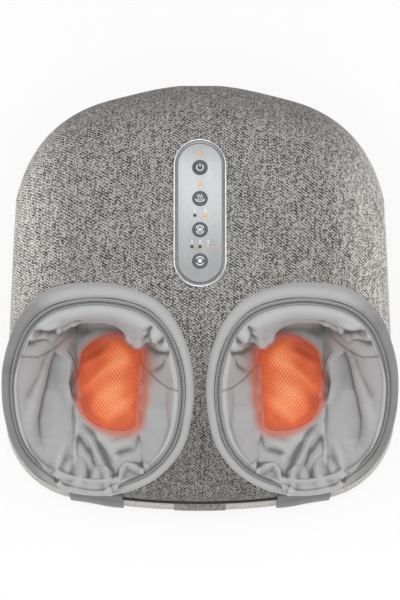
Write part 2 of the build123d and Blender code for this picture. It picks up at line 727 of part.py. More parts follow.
# Foot well
def well_outline(inset):
    """The foot well's outline from above, drawn in by inset."""
    width = 2 * (WELL_HALF_WIDTH - inset)
    length = WELL_BACK_Y - WELL_FRONT_Y - 2 * inset
    outline = soft_rectangle(width, length, WELL_FRONT_CORNER - inset, WELL_BACK_CORNER - inset)
    return Pos(LINER_X, (WELL_FRONT_Y + WELL_BACK_Y) / 2) * outline


def make_foot_well():
    """The tub: a floor with two round windows and a wall that rises beside the toes."""
    tub = slab(well_outline(0), WELL_FLOOR_BOTTOM, WELL_SIDE_Z)
    tub -= slab(well_outline(WELL_WALL), WELL_FLOOR_TOP, WELL_SIDE_Z + OVERRUN)
    low = Polyline(
        (WELL_FRONT_Y - OVERRUN, WELL_FLOOR_TOP),
        (WELL_STEP_FRONT_Y, WELL_FLOOR_TOP),
        (WELL_STEP_BACK_Y, WELL_SIDE_Z + OVERRUN),
        (WELL_FRONT_Y - OVERRUN, WELL_SIDE_Z + OVERRUN),
        close=True,
    )
    tub -= extrude(make_face(Plane.YZ * low), FAR)
    notch = BAG_PORT_RADIUS + PORT_NOTCH_GAP
    tub -= box_between(
        0, LINER_X, BAG_PORT_Y - notch, BAG_PORT_Y + notch, BAG_PORT_Z - notch, WELL_SIDE_Z + OVERRUN
    )
    for y in (DISC_FRONT_Y, DISC_BACK_Y):
        tub -= post_at(WINDOW_RADIUS, LINER_X, y, 0, WELL_FLOOR_TOP + OVERRUN, ROUND_SIDES)
    return tub


# Kneading drive
def gear_outline(teeth, module, tip_share, gap_at):
    """A toothed outline about the origin, with the middle of a gap in direction gap_at, in degrees."""
    pitch_radius = teeth * module / 2
    tip = pitch_radius + module * GEAR_ADDENDUM_SHARE
    root = pitch_radius - module * GEAR_DEDENDUM_SHARE
    tip_half = tip_share * pi * module / tip
    root_half = pi / teeth
    points = []
    for i in range(teeth):
        middle = radians(gap_at) + (i + 1 / 2) * 2 * pi / teeth
        for radius, angle in ((root, -root_half), (tip, -tip_half), (tip, tip_half)):
            points.append((radius * cos(middle + angle), radius * sin(middle + angle)))
    return make_face(Polyline(*points, close=True))


def make_disc(y):
    """A toothed disc that turns on the drive plate's pin."""
    gear = gear_outline(DISC_TEETH, GEAR_MODULE, GEAR_TIP_WIDTH_SHARE, 90)
    disc = Pos(LINER_X, y) * slab(gear, GEAR_BOTTOM, GEAR_TOP)
    return disc - shaft_at(DISC_PIN_RADIUS + RUNNING_FIT, LINER_X, y, 0, GEAR_TOP + OVERRUN)


def make_heads(y):
    """The kneading heads of one disc: domed knobs, standing on it in a ring."""
    shoulder_z = GEAR_TOP + (HEAD_TOP - GEAR_TOP) * HEAD_SHOULDER_SHARE
    outline = RegularPolygon(HEAD_RADIUS, HEAD_SIDES)
    heads = []
    for i in range(HEAD_COUNT):
        angle = 2 * pi * i / HEAD_COUNT + pi / 2
        knob = slab(outline, GEAR_TOP, shoulder_z) + slab(outline, shoulder_z, HEAD_TOP, HEAD_CROWN_TAPER)
        place = Pos(LINER_X + HEAD_ORBIT * cos(angle), y + HEAD_ORBIT * sin(angle))
        heads.append((place * knob).solid())
    return Compound(children=heads)


def make_drive_gear():
    """Worm wheel and pinion on one upright shaft."""
    shaft = shaft_at(DRIVE_SHAFT_RADIUS, LINER_X, PINION_Y, shaft_foot_z(), GEAR_TOP)
    wheel = gear_outline(WHEEL_TEETH, WORM_MODULE, WHEEL_TIP_WIDTH_SHARE, 180)
    half = WHEEL_FACE / 2
    wheel = Pos(LINER_X, PINION_Y) * slab(wheel, WORM_AXIS_Z - half, WORM_AXIS_Z + half)
    tooth_at = 90 + 180 / PINION_TEETH
    pinion = gear_outline(PINION_TEETH, GEAR_MODULE, GEAR_TIP_WIDTH_SHARE, tooth_at)
    pinion = Pos(LINER_X, PINION_Y) * slab(pinion, GEAR_BOTTOM, GEAR_TOP)
    return shaft + wheel + pinion


def shaft_foot_z():
    """Where the drive shaft stands in the case's floor."""
    return TRAY_TOP + CASE_WALL / 2


def case_box(grow, bottom, top):
    """The gearbox's inner space, grown by a wall."""
    wheel_reach = WHEEL_TEETH * WORM_MODULE / 2 + WORM_MODULE + CASE_CLEARANCE
    worm_reach = WORM_PITCH_RADIUS + WORM_MODULE + CASE_CLEARANCE
    return box_between(
        WORM_AXIS_X - worm_reach - grow,
        LINER_X + wheel_reach + grow,
        PINION_Y - CASE_HALF_LENGTH + CASE_WALL - grow,
        PINION_Y + CASE_HALF_LENGTH - CASE_WALL + grow,
        bottom,
        top,
    )


def worm_plane(y):
    """An upright plane square to the worm's axis at y, its Z along +Y."""
    return Plane(origin=(WORM_AXIS_X, y, WORM_AXIS_Z), x_dir=(-1, 0, 0), z_dir=(0, 1, 0))


def make_gearbox_case():
    """The open box round the worm and its wheel, with bearings for both shafts."""
    case = case_box(CASE_WALL, TRAY_TOP, CASE_TOP_Z)
    case -= case_box(0, TRAY_TOP + CASE_WALL, CASE_TOP_Z + OVERRUN)
    boss_top = WORM_AXIS_Z - WHEEL_FACE / 2 - SEAM_GAP
    case += post_at(2 * DRIVE_SHAFT_RADIUS, LINER_X, PINION_Y, TRAY_TOP, boss_top)
    bore = flat_bore(DRIVE_SHAFT_RADIUS)
    case -= post_at(bore, LINER_X, PINION_Y, shaft_foot_z() - SLIDE_FIT, CASE_TOP_Z)
    worm_bore = RegularPolygon(flat_bore(WORM_SHAFT_RADIUS), PLAIN_SIDES)
    return case - worm_plane(0) * slab(worm_bore, -FAR, FAR)


def make_drive_plate():
    """The plate that closes the gearbox and carries the discs' pins."""
    reach = PLATE_OVERHANG
    middle = (DISC_FRONT_Y + DISC_BACK_Y) / 2
    length = DISC_BACK_Y - DISC_FRONT_Y + 2 * reach
    outline = soft_rectangle(2 * PLATE_HALF_WIDTH, length, PLATE_HALF_WIDTH / 2, PLATE_HALF_WIDTH / 2)
    plate = slab(Pos(LINER_X, middle) * outline, CASE_TOP_Z, PLATE_TOP)
    plate -= post_at(flat_bore(DRIVE_SHAFT_RADIUS), LINER_X, PINION_Y, 0, FAR)
    for y in (DISC_FRONT_Y, DISC_BACK_Y):
        plate += shaft_at(DISC_PIN_RADIUS, LINER_X, y, PLATE_TOP, GEAR_TOP)
        plate += post_at(2 * DISC_PIN_RADIUS, LINER_X, y, PLATE_TOP, GEAR_BOTTOM - SEAM_GAP)
    return plate


def make_worm_shaft():
    """The motor's shaft with the worm on it."""
    front = PINION_Y - CASE_HALF_LENGTH
    back = PINION_Y + CASE_HALF_LENGTH + MOTOR_BORE_DEPTH
    shaft = worm_plane(0) * slab(Circle(WORM_SHAFT_RADIUS), front, back)
    core = RegularPolygon(WORM_CORE_RADIUS, ROUND_SIDES)
    half = WORM_LENGTH / 2
    return shaft + worm_plane(0) * slab(core, PINION_Y - half, PINION_Y + half)


def make_motor():
    """The kneading motor, bolted to the gearbox's back wall."""
    face = PINION_Y + CASE_HALF_LENGTH
    body = worm_plane(0) * slab(RegularPolygon(MOTOR_RADIUS, ROUND_SIDES), face, face + MOTOR_LENGTH)
    cap_end = face + MOTOR_LENGTH + MOTOR_CAP_LENGTH
    body += worm_plane(0) * slab(RegularPolygon(MOTOR_CAP_RADIUS, PLAIN_SIDES), face, cap_end)
    bore = RegularPolygon(flat_bore(WORM_SHAFT_RADIUS), PLAIN_SIDES)
    return body - worm_plane(0) * slab(bore, face - OVERRUN, face + MOTOR_BORE_DEPTH + SEAM_GAP)


# Control panel
def panel_outline(inset):
    """The panel's pill outline, drawn in by inset."""
    pill = Rot(0, 0, 90) * SlotOverall(PANEL_LENGTH - 2 * inset, PANEL_WIDTH - 2 * inset)
    return faceted(pill, inset)


def make_panel_bezel():
    """The bright rim on the deck, with a skirt through the shell and a ledge for the board."""
    edge_z = PANEL_RIM_HEIGHT - PANEL_RIM_EDGE
    rim = slab(panel_outline(0), 0, edge_z) + slab(panel_outline(0), edge_z, PANEL_RIM_HEIGHT, EDGE_TAPER)
    rim -= slab(panel_outline(PANEL_RIM_WIDTH), -OVERRUN, PANEL_RIM_HEIGHT + OVERRUN)
    outer = panel_outline(PANEL_SKIRT_INSET)
    inner = panel_outline(PANEL_SKIRT_INSET + PANEL_SKIRT_WALL)
    ledge = panel_outline(PANEL_SKIRT_INSET + PANEL_SKIRT_WALL + PANEL_LEDGE)
    skirt = ring_slab(outer, inner, -PANEL_SKIRT_DEPTH, 0)
    skirt += ring_slab(outer, ledge, -PANEL_SKIRT_DEPTH, PANEL_LEDGE_HEIGHT - PANEL_SKIRT_DEPTH)
    joint = ring_slab(panel_outline(0), inner, 0, SEAM_GAP)
    return deck_plane() * (rim + joint + skirt)


def button_places():
    """Each button's name and its place along the panel."""
    return [(name, BUTTON_FIRST_Y - i * BUTTON_PITCH) for i, name in enumerate(BUTTON_NAMES)]


def lens_places():
    """Places of the lit and the unlit indicator lenses on the panel."""
    rows = [y + LENS_ROW_OFFSET for _, y in button_places()]
    half = LENS_PAIR_PITCH / 2
    lit = [(0, rows[0]), (0, rows[1]), (half, rows[2]), (LENS_TRIPLE_PITCH, rows[3])]
    unlit = [(-half, rows[2]), (0, rows[3]), (-LENS_TRIPLE_PITCH, rows[3])]
    return lit, unlit


def make_panel_plate():
    """The brushed plate inside the rim, with holes for buttons and lenses."""
    bottom = SEAM_GAP
    top = bottom + PANEL_PLATE_THICKNESS
    plate = slab(panel_outline(PANEL_SKIRT_INSET), bottom, top)
    for _, y in button_places():
        plate -= post_at(BUTTON_RADIUS + SLIDE_FIT, 0, y, -OVERRUN, top + OVERRUN, ROUND_SIDES)
    lit, unlit = lens_places()
    for x, y in lit + unlit:
        plate -= post_at(LENS_RADIUS + SLIDE_FIT, x, y, -OVERRUN, top + OVERRUN)
    return deck_plane() * plate


def make_button(y):
    """A push button: a cap through the plate and a flange behind it."""
    plate_top = SEAM_GAP + PANEL_PLATE_THICKNESS
    flange_top = SEAM_GAP - RUNNING_FIT
    face_z = plate_top + BUTTON_PROUD
    outline = Pos(0, y) * RegularPolygon(BUTTON_RADIUS, ROUND_SIDES)
    cap = slab(outline, flange_top, face_z - BUTTON_EDGE)
    cap += slab(outline, face_z - BUTTON_EDGE, face_z, EDGE_TAPER)
    flange = post_at(
        BUTTON_RADIUS + BUTTON_FLANGE, 0, y, flange_top - BUTTON_FLANGE_HEIGHT, flange_top, ROUND_SIDES
    )
    return deck_plane() * (cap + flange)


def make_lenses(places):
    """Indicator lenses as short light pipes through the plate."""
    top = SEAM_GAP + PANEL_PLATE_THICKNESS + LENS_PROUD
    lenses = [deck_plane() * post_at(LENS_RADIUS, x, y, top - LENS_DEPTH, top) for x, y in places]
    return Compound(children=[lens.solid() for lens in lenses])


def make_control_board():
    """The board behind the plate, on the skirt's ledge, with a switch under each button."""
    bottom = PANEL_LEDGE_HEIGHT - PANEL_SKIRT_DEPTH
    top = bottom + BOARD_THICKNESS
    board = slab(panel_outline(PANEL_SKIRT_INSET + PANEL_SKIRT_WALL + SLIDE_FIT), bottom, top)
    flange_bottom = SEAM_GAP - RUNNING_FIT - BUTTON_FLANGE_HEIGHT
    switch_top = flange_bottom - BUTTON_TRAVEL - SWITCH_GAP
    for _, y in button_places():
        half = SWITCH_SIZE / 2
        board += box_between(-half, half, y - half, y + half, top, switch_top)
    return deck_plane() * board


# Electronics and air
def make_main_board():
    """The power and motor board on its posts, with its larger components."""
    bottom = TRAY_TOP + MAIN_BOARD_LIFT
    top = bottom + BOARD_THICKNESS
    board = slab(Pos(0, MAIN_BOARD_Y) * Rectangle(MAIN_BOARD_WIDTH, MAIN_BOARD_LENGTH), bottom, top)
    half = CHIP_SIZE / 2
    board += box_between(
        -half, half, MAIN_BOARD_Y - half, MAIN_BOARD_Y + half, top, top + CHIP_HEIGHT
    )
    for x in (-CHIP_SIZE, CHIP_SIZE):
        board += post_at(
            CAPACITOR_RADIUS, x, MAIN_BOARD_Y + CHIP_SIZE + CAPACITOR_RADIUS, top, top + CAPACITOR_HEIGHT
        )
    return board


def make_air_pump():
    """The air pump: a pump head with its motor lying behind it."""
    half = PUMP_WIDTH / 2
    front = PUMP_Y - PUMP_LENGTH / 2
    top = TRAY_TOP + PUMP_HEIGHT
    head = box_between(-half, half, front, PUMP_Y + PUMP_LENGTH / 2, TRAY_TOP, top)
    axis = Plane(
        origin=(0, PUMP_Y + PUMP_LENGTH / 2, TRAY_TOP + PUMP_HEIGHT / 2), x_dir=(-1, 0, 0), z_dir=(0, 1, 0)
    )
    return head + axis * slab(RegularPolygon(PUMP_MOTOR_RADIUS, ROUND_SIDES), 0, PUMP_MOTOR_LENGTH)


def make_valve_block():
    """The valve block that shares the air between the bags, with two ports on top."""
    half = VALVE_WIDTH / 2
    back = VALVE_Y + VALVE_LENGTH / 2
    top = TRAY_TOP + VALVE_HEIGHT
    block = box_between(-half, half, VALVE_Y - VALVE_LENGTH / 2, back, TRAY_TOP, top)
    for x in (-VALVE_PORT_X, VALVE_PORT_X):
        block += post_at(HOSE_RADIUS, x, VALVE_Y, top, top + VALVE_PORT_HEIGHT)
    return block


def make_air_hoses():
    """Hoses from the valve block's ports to the bags, and one from the pump to the block."""
    port_top = TRAY_TOP + VALVE_HEIGHT + VALVE_PORT_HEIGHT
    bag_end = bag_side_x() - BAG_PORT_LENGTH
    path = Polyline(
        (VALVE_PORT_X, VALVE_Y, port_top),
        (VALVE_PORT_X, VALVE_Y, BAG_PORT_Z),
        (bag_end, VALVE_Y, BAG_PORT_Z),
    )
    section = RegularPolygon(HOSE_RADIUS, PLAIN_SIDES)
    start = Plane(origin=(VALVE_PORT_X, VALVE_Y, port_top), z_dir=(0, 0, 1))
    riser = sweep(start * section, path=path, transition=Transition.RIGHT)
    link_start = VALVE_Y + VALVE_LENGTH / 2
    link_end = PUMP_Y - PUMP_LENGTH / 2
    level = TRAY_TOP + VALVE_HEIGHT / 2
    axis = Plane(origin=(0, link_start, level), x_dir=(-1, 0, 0), z_dir=(0, 1, 0))
    link = axis * slab(section, 0, link_end - link_start)
    return Compound(children=[s.solid() for s in both_sides(riser) + [link]])


def inlet_axis():
    """The power inlet's axis, out through the back wall."""
    return Plane(origin=(0, HOOD_BACK_Y, INLET_Z), x_dir=(-1, 0, 0), z_dir=(0, 1, 0))


def make_power_inlet():
    """The low-voltage socket in the back wall, held by a nut inside."""
    body = slab(RegularPolygon(INLET_RADIUS, ROUND_SIDES), -INLET_LENGTH, 0)
    body -= slab(RegularPolygon(INLET_BORE_RADIUS, ROUND_SIDES), -INLET_BORE_DEPTH, OVERRUN)
    body += slab(RegularPolygon(INLET_PIN_RADIUS, PLAIN_SIDES), -INLET_BORE_DEPTH, -WELT_HEIGHT)
    nut_top = -SHELL_INNER - INLET_NUT_GAP
    nut = RegularPolygon(INLET_NUT_RADIUS, 6)
    body += slab(nut, nut_top - INLET_NUT_HEIGHT, nut_top)
    return inlet_axis() * body


# Writing the pieces
def save(name, shape):
    """Write one node's solids."""
    export_step(shape, f"parts/{name}.step")


def save_pair(name, shape):
    """Write a node for the right foot and its mirror image for the left."""
    save(f"right_{name}", shape)
    save(f"left_{name}", mirror(shape, Plane.YZ))


def main():
    """Build every piece and write it."""
    os.makedirs("parts", exist_ok=True)
    save("base_tray", make_base_tray())
    save("rubber_feet", make_rubber_feet())
    save("base_screws", make_base_screws())
    save("base_band", make_base_band())
    save("seam_piping", make_seam_piping())
    save("hood_shell", make_hood_shell())
    save("fabric_cover", make_fabric_cover())
    save("power_inlet", make_power_inlet())
    save("main_board", make_main_board())
    save("air_pump", make_air_pump())
    save("valve_block", make_valve_block())
    save("air_hoses", make_air_hoses())
    save("panel_bezel", make_panel_bezel())
    save("panel_plate", make_panel_plate())
    save("control_board", make_control_board())
    for name, y in button_places():
        save(f"{name}_button", make_button(y))
    lit, unlit = lens_places()
    save("lit_lenses", make_lenses(lit))
    save("unlit_lenses", make_lenses(unlit))
    save_pair("collar", make_collar())
    save_pair("zipper", make_zipper())
    save_pair("heel_flap", make_heel_flap())
    save_pair("liner", make_liner())
    save_pair("mesh_panel", make_mesh_panel())
    save_pair("heater_film", make_heater_film())
    save_pair("airbag", make_airbag())
    save_pair("foot_well", make_foot_well())
    save_pair("gearbox_case", make_gearbox_case())
    save_pair("drive_plate", make_drive_plate())
    save_pair("motor", make_motor())
    save_pair("worm_shaft", make_worm_shaft())
    save_pair("drive_gear", make_drive_gear())
    save_pair("front_disc", make_disc(DISC_FRONT_Y))
    save_pair("rear_disc", make_disc(DISC_BACK_Y))
    save_pair("front_heads", make_heads(DISC_FRONT_Y))
    save_pair("rear_heads", make_heads(DISC_BACK_Y))


if __name__ == "__main__":
    main()
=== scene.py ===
"""Foot massager with cloth cover, zipped foot liners and a button panel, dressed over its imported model."""

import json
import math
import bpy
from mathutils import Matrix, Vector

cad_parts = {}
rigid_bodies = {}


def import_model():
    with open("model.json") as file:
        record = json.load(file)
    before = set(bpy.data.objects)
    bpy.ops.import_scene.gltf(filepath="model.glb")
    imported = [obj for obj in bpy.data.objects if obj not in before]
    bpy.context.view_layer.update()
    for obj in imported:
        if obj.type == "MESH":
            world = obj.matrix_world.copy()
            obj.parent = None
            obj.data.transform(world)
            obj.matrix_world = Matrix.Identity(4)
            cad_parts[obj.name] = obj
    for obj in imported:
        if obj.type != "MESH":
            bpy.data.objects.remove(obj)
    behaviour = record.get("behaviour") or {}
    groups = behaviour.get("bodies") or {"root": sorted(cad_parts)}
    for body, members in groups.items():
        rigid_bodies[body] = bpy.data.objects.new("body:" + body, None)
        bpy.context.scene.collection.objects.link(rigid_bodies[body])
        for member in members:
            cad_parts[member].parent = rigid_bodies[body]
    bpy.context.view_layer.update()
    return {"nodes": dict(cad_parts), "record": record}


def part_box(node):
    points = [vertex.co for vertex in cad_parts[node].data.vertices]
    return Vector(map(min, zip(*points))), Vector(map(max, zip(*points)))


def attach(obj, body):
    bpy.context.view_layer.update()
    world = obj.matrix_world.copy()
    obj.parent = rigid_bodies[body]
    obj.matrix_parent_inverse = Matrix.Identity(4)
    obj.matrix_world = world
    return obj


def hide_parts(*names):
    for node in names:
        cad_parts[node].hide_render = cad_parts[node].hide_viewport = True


bl_info = {
    "name": "Foot Massager",
    "version": (1, 0, 0),
    "blender": (4, 5, 0),
    "location": "3D View > Sidebar > Massager",
    "description": "Builds the cloth, panel and finishes of a heated foot massager over its packed model",
    "category": "Object",
}

import bmesh
import bpy
import numpy as np
from mathutils import Vector
from mathutils.bvhtree import BVHTree

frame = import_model()

MM = 0.001
HOUSING = "housing"
SIDES = (("right", 1), ("left", -1))
BUTTONS = ("power", "heat", "intensity", "mode")


# Numbers that a user would change
def distance(name, description, default):
    """A distance that a user can change."""
    return bpy.props.FloatProperty(name=name, description=description, default=default, unit="LENGTH")


def swatch(name, description, default):
    """A colour that a user can change."""
    return bpy.props.FloatVectorProperty(name=name, description=description, default=default, subtype="COLOR")


class MassagerCover(bpy.types.PropertyGroup):
    """Sizes and colours of the cloth body."""

    weave: distance("Weave", "Width of one thread", 1.15 * MM)
    edge_softness: bpy.props.IntProperty(
        name="Edge softness", description="Rounds of smoothing on the cover's edges", default=16, min=0, max=60
    )
    dark: swatch("Dark thread", "Darker thread of the cover", (0.010, 0.0095, 0.009))
    pale: swatch("Pale thread", "Paler thread of the cover", (0.80, 0.775, 0.74))
    band: swatch("Band", "Cloth of the strip round the base", (0.66, 0.64, 0.60))


class MassagerCuff(bpy.types.PropertyGroup):
    """Sizes and colours of the foot openings."""

    tooth_pitch: distance("Tooth pitch", "Distance between zip teeth", 1.6 * MM)
    stitch_pitch: distance("Stitch pitch", "Distance between stitches", 2.6 * MM)
    cloth: swatch("Cuff cloth", "Cloth of cuffs and liners", (0.43, 0.43, 0.435))
    zip_tape: swatch("Zip", "Tape and teeth of the zips", (0.30, 0.295, 0.295))
    # Colours of the glow light painted on the mesh and the liner
    glow: swatch("Heat glow", "Colour of the heated mesh", (0.72, 0.115, 0.028))
    hot: swatch("Hot glow", "Brightest colour of the mesh", (1.0, 0.42, 0.17))
    dull: swatch("Dull glow", "Darkest colour of the mesh", (0.31, 0.035, 0.014))


class MassagerPanel(bpy.types.PropertyGroup):
    """Sizes and colours of the control panel."""

    length: distance("Length", "Length of the panel", 143.0 * MM)
    width: distance("Width", "Width of the panel", 50.5 * MM)
    plate: swatch("Plate", "Brushed plate", (0.46, 0.475, 0.48))
    lamp: swatch("Lamp", "Lit indicator lamps", (1.0, 0.27, 0.02))


# Shader maths
class Tone:
    """One output of a node, with the usual arithmetic."""

    def __init__(self, wiring, socket):
        self.wiring = wiring
        self.socket = socket

    def at(self, output):
        """Another output of the same node."""
        return Tone(self.wiring, self.socket.node.outputs[output])

    def maths(self, operation, *others):
        """A Math node with this tone as its first input."""
        return self.wiring.node("Math", (self, *others), operation=operation)

    def __add__(self, other):
        return self.maths("ADD", other)

    __radd__ = __add__

    def __sub__(self, other):
        return self.maths("SUBTRACT", other)

    def __rsub__(self, other):
        return self.wiring.node("Math", (other, self), operation="SUBTRACT")

    def __mul__(self, other):
        return self.maths("MULTIPLY", other)

    __rmul__ = __mul__

    def ramp(self, low, high, start=0.0, end=1.0):
        """The tone mapped smoothly from low..high to start..end."""
        sockets = {"Value": self, "From Min": low, "From Max": high, "To Min": start, "To Max": end}
        return self.wiring.node("MapRange", sockets, interpolation_type="SMOOTHSTEP")

    def blend(self, first, second):
        """A colour between first, at 0, and second, at 1."""
        return self.wiring.mix("MIX", self, first, second)

    def times(self, colour):
        """A colour made darker or paler by this tone."""
        return self.wiring.mix("MULTIPLY", 1.0, colour, self)


class Wiring:
    """The nodes of one material or world."""

    def __init__(self, owner):
        owner.use_nodes = True
        self.tree = owner.node_tree
        self.tree.nodes.clear()

    def feed(self, socket, value):
        """Link a tone to a socket, or set a plain value on it."""
        if isinstance(value, Tone):
            self.tree.links.new(value.socket, socket)
        elif hasattr(value, "__len__"):
            numbers = tuple(value)
            socket.default_value = numbers + (1.0,) * (len(socket.default_value) - len(numbers))
        else:
            socket.default_value = value

    def node(self, kind, sockets=(), output=0, **settings):
        """A node with its settings, then its sockets, as the tone of one output, or itself if it has none."""
        node = self.tree.nodes.new(f"ShaderNode{kind}")
        for key, value in settings.items():
            setattr(node, key, value)
        for key, value in sockets.items() if isinstance(sockets, dict) else enumerate(sockets):
            self.feed(node.inputs[key], value)
        return Tone(self, node.outputs[output]) if node.outputs else node

    def place(self, kind="Object", scale=(1, 1, 1)):
        """Texture coordinates, scaled."""
        return self.node("Mapping", {"Vector": self.node("TexCoord", output=kind), "Scale": scale})

    def parts(self, vector):
        """The three numbers of a vector."""
        split = self.node("SeparateXYZ", (vector,))
        return [split.at(axis) for axis in "XYZ"]

    def join(self, x, y, z):
        """A vector of three numbers."""
        return self.node("CombineXYZ", (x, y, z))

    def noise(self, vector, scale=1.0, detail=2.0, roughness=0.5):
        """Cloudy noise from 0 to 1."""
        sockets = {"Vector": vector, "Scale": scale, "Detail": detail, "Roughness": roughness}
        return self.node("TexNoise", sockets, "Fac")

    def chance(self, vector):
        """A random number from 0 to 1, the same wherever the vector is the same."""
        return self.node("TexWhiteNoise", {"Vector": vector}, "Value")

    def attribute(self, name):
        """A number painted on the mesh."""
        return self.node("Attribute", output="Fac", attribute_name=name)

    def mix(self, how, factor, first, second):
        """Two colours mixed in one of Blender's ways; a Mix node's colours are its inputs 6 and 7 and output 2."""
        return self.node("Mix", {0: factor, 6: first, 7: second}, 2, data_type="RGBA", blend_type=how)


class Finish(Wiring):
    """A material made of nodes around one Principled BSDF."""

    def __init__(self, name, roughness=0.6, metallic=0.0, **fixed):
        self.material = bpy.data.materials.new(name)
        super().__init__(self.material)
        self.shader = self.node("BsdfPrincipled")
        self.output = self.node("OutputMaterial", {"Surface": self.shader})
        self.put(Roughness=roughness, Metallic=metallic, **fixed)

    def put(self, **sockets):
        """Link or set sockets of the shader."""
        for key, value in sockets.items():
            self.feed(self.shader.socket.node.inputs[key.replace("_", " ")], value)
        return self

    def relief(self, height, distance, strength):
        """Bump the surface by a height."""
        return self.put(Normal=self.node("Bump", {"Distance": distance, "Strength": strength, "Height": height}))


# Finishes
def tinted(colour, share):
    """A colour made darker or paler."""
    return tuple(part * share for part in colour)


def linen(name, dark, pale, thread):
    """Melange weave: short yarns, each laid half over its neighbour and of its own tone, with slow streaks."""
    finish = Finish(name, roughness=0.92, Sheen_Weight=0.1, Sheen_Roughness=0.6, Specular_IOR_Level=0.2)
    across, along, _ = finish.parts(finish.place("UV"))
    column = across * (1 / thread)
    strand = column.maths("FLOOR")
    row = along * (1 / (1.25 * thread)) + strand * 0.5 + finish.chance(finish.join(strand, 0.0, 7.0)) * 0.7
    stitch = row.maths("FLOOR")
    hump, bow = (((place - start) * math.pi).maths("SINE") for place, start in ((column, strand), (row, stitch)))
    crown = (hump * bow).maths("POWER", 0.6)
    every_other = (stitch * 0.5).maths("FRACT") * 2.0
    chance = finish.chance(finish.join(strand, stitch, 0.0))
    streak = finish.noise(finish.place("UV", (1 / (2.2 * thread), 1 / (26 * thread), 1)), roughness=0.6)
    broad = finish.noise(finish.place("UV", (26, 26, 1)), detail=1.0)
    tone = crown * 0.30 + every_other * 0.26 + chance * 0.50 + streak * 0.42 + broad * 0.10
    yarn = tone.ramp(0.48, 1.12).blend(dark, pale)
    # The yarn's colour times the painted shade number: painted light and shade on the cover, 1 on the strip, a
    # darker tone on the front patch
    finish.put(Base_Color=finish.attribute("shade").times(yarn))
    return finish.relief(crown + chance * 0.3, 0.30 * thread, 0.7)


def knitted(name, sheen, cloud_scale):
    """Tightly knitted cloth, with its grain, its soft clouds and the painted shade of its folds."""
    finish = Finish(name, roughness=0.88, Sheen_Weight=sheen, Sheen_Roughness=0.5, Specular_IOR_Level=0.25)
    grain, soft = finish.noise(finish.place(), 2400, 2.0, 0.6), finish.noise(finish.place(), cloud_scale)
    finish.relief(grain + soft * 0.4, 0.12 * MM, 0.6)
    return finish, grain, soft, finish.attribute("fold_shade")


def smooth_cloth(name, colour, dip=0.72):
    """Smooth cloth, with painted shade that makes it a little darker in its folds."""
    finish, grain, soft, fold_shade = knitted(name, 0.25, 34)
    # Painted shade: darker where the painted fold number is low, as in creases
    tone = (grain * 0.22 + soft * 0.5 + fold_shade * 0.8).ramp(0.10, 1.15)
    return finish.put(Base_Color=tone.blend(tinted(colour, dip), colour))


def heated_cloth(name, colour, glow):
    """Liner cloth with painted shade in its creases and dark seams, and the heater's glow painted on as it nears the
    mesh.
    """
    finish, grain, soft, fold_shade = knitted(name, 0.2, 30)
    heat = finish.attribute("painted_glow")
    # Painted shade: the cloth darker in its creases
    base = (grain * 0.16 + soft * 0.22 + fold_shade * 0.9).ramp(0.05, 1.10).blend(tinted(colour, 0.34), colour)
    # Painted light: the heater's glow tints the cloth's colour red near the mesh
    warm = heat.ramp(0.0, 1.3).blend(base, (0.36, 0.11, 0.08))
    sewn = (finish.attribute("seam") * 0.72).blend(warm, (0.05, 0.045, 0.045))
    # Painted light: the glow itself, weaker in the creases
    lit = (heat.maths("POWER", 1.6) * fold_shade.ramp(0.1, 0.8, 0.35, 1.0)).blend((0, 0, 0), glow)
    return finish.put(Base_Color=sewn, Emission_Color=lit, Emission_Strength=0.27)


def glowing_mesh(name, cloth, glow, hot, dull):
    """Open mesh with the light from below painted on as glow: pale threads over glowing holes, with a painted shadow
    that fades it to plain cloth at the toe end.
    """
    finish = Finish(name, roughness=0.75, Specular_IOR_Level=0.2)
    heat, fold_shade, roll_shadow, seam = (finish.attribute(key) for key in ("painted_glow", "fold_shade", "roll_shadow", "seam"))
    across, along, _ = finish.parts(finish.place("UV"))
    turn = math.pi / (3.0 * MM)
    first = ((across + along * 0.55) * turn).maths("SINE").maths("ABSOLUTE")
    second = ((across * 0.9 - along * 0.6) * turn).maths("SINE").maths("ABSOLUTE")
    thread = 1.0 - (first * second).maths("POWER", 0.5)
    cloud = finish.noise(finish.place(), 60, 3.0, 0.6)
    # Painted light: bright spots, brighter threads, and painted light and shade on the folds
    light = heat * (0.46 + thread * 0.86) + (fold_shade - 0.5) * 0.45 + (cloud - 0.5) * 0.30
    shown = light.ramp(0.46, 1.20).blend(light.ramp(0.0, 0.60).blend(dull, glow), hot)
    # Painted shadow under the roll dims the glow, as the dark seams do, and turns the mesh to plain cloth
    lit = (roll_shadow + seam * 0.7).ramp(0.0, 1.0).blend(shown, (0, 0, 0))
    plain_cloth = roll_shadow.blend((0.34, 0.085, 0.045), cloth)
    sewn = (seam * 0.8).blend(plain_cloth, (0.06, 0.02, 0.015))
    finish.put(Base_Color=sewn, Emission_Color=lit, Emission_Strength=0.62)
    return finish.relief(thread, 0.5 * MM, 0.8)


def zip_cloth(name, colour):
    """Ribbed zip tape."""
    finish = Finish(name, roughness=0.8, Specular_IOR_Level=0.3)
    along = finish.parts(finish.place("UV"))[1]
    rib = (along * (math.pi / (0.8 * MM))).maths("SINE") * 0.5 + 0.5
    tone = (rib * 0.6 + finish.noise(finish.place(), 900) * 0.4).ramp(0.1, 0.9)
    finish.put(Base_Color=tone.blend(tinted(colour, 0.6), tinted(colour, 1.5)))
    return finish.relief(rib, 0.2 * MM, 0.6)


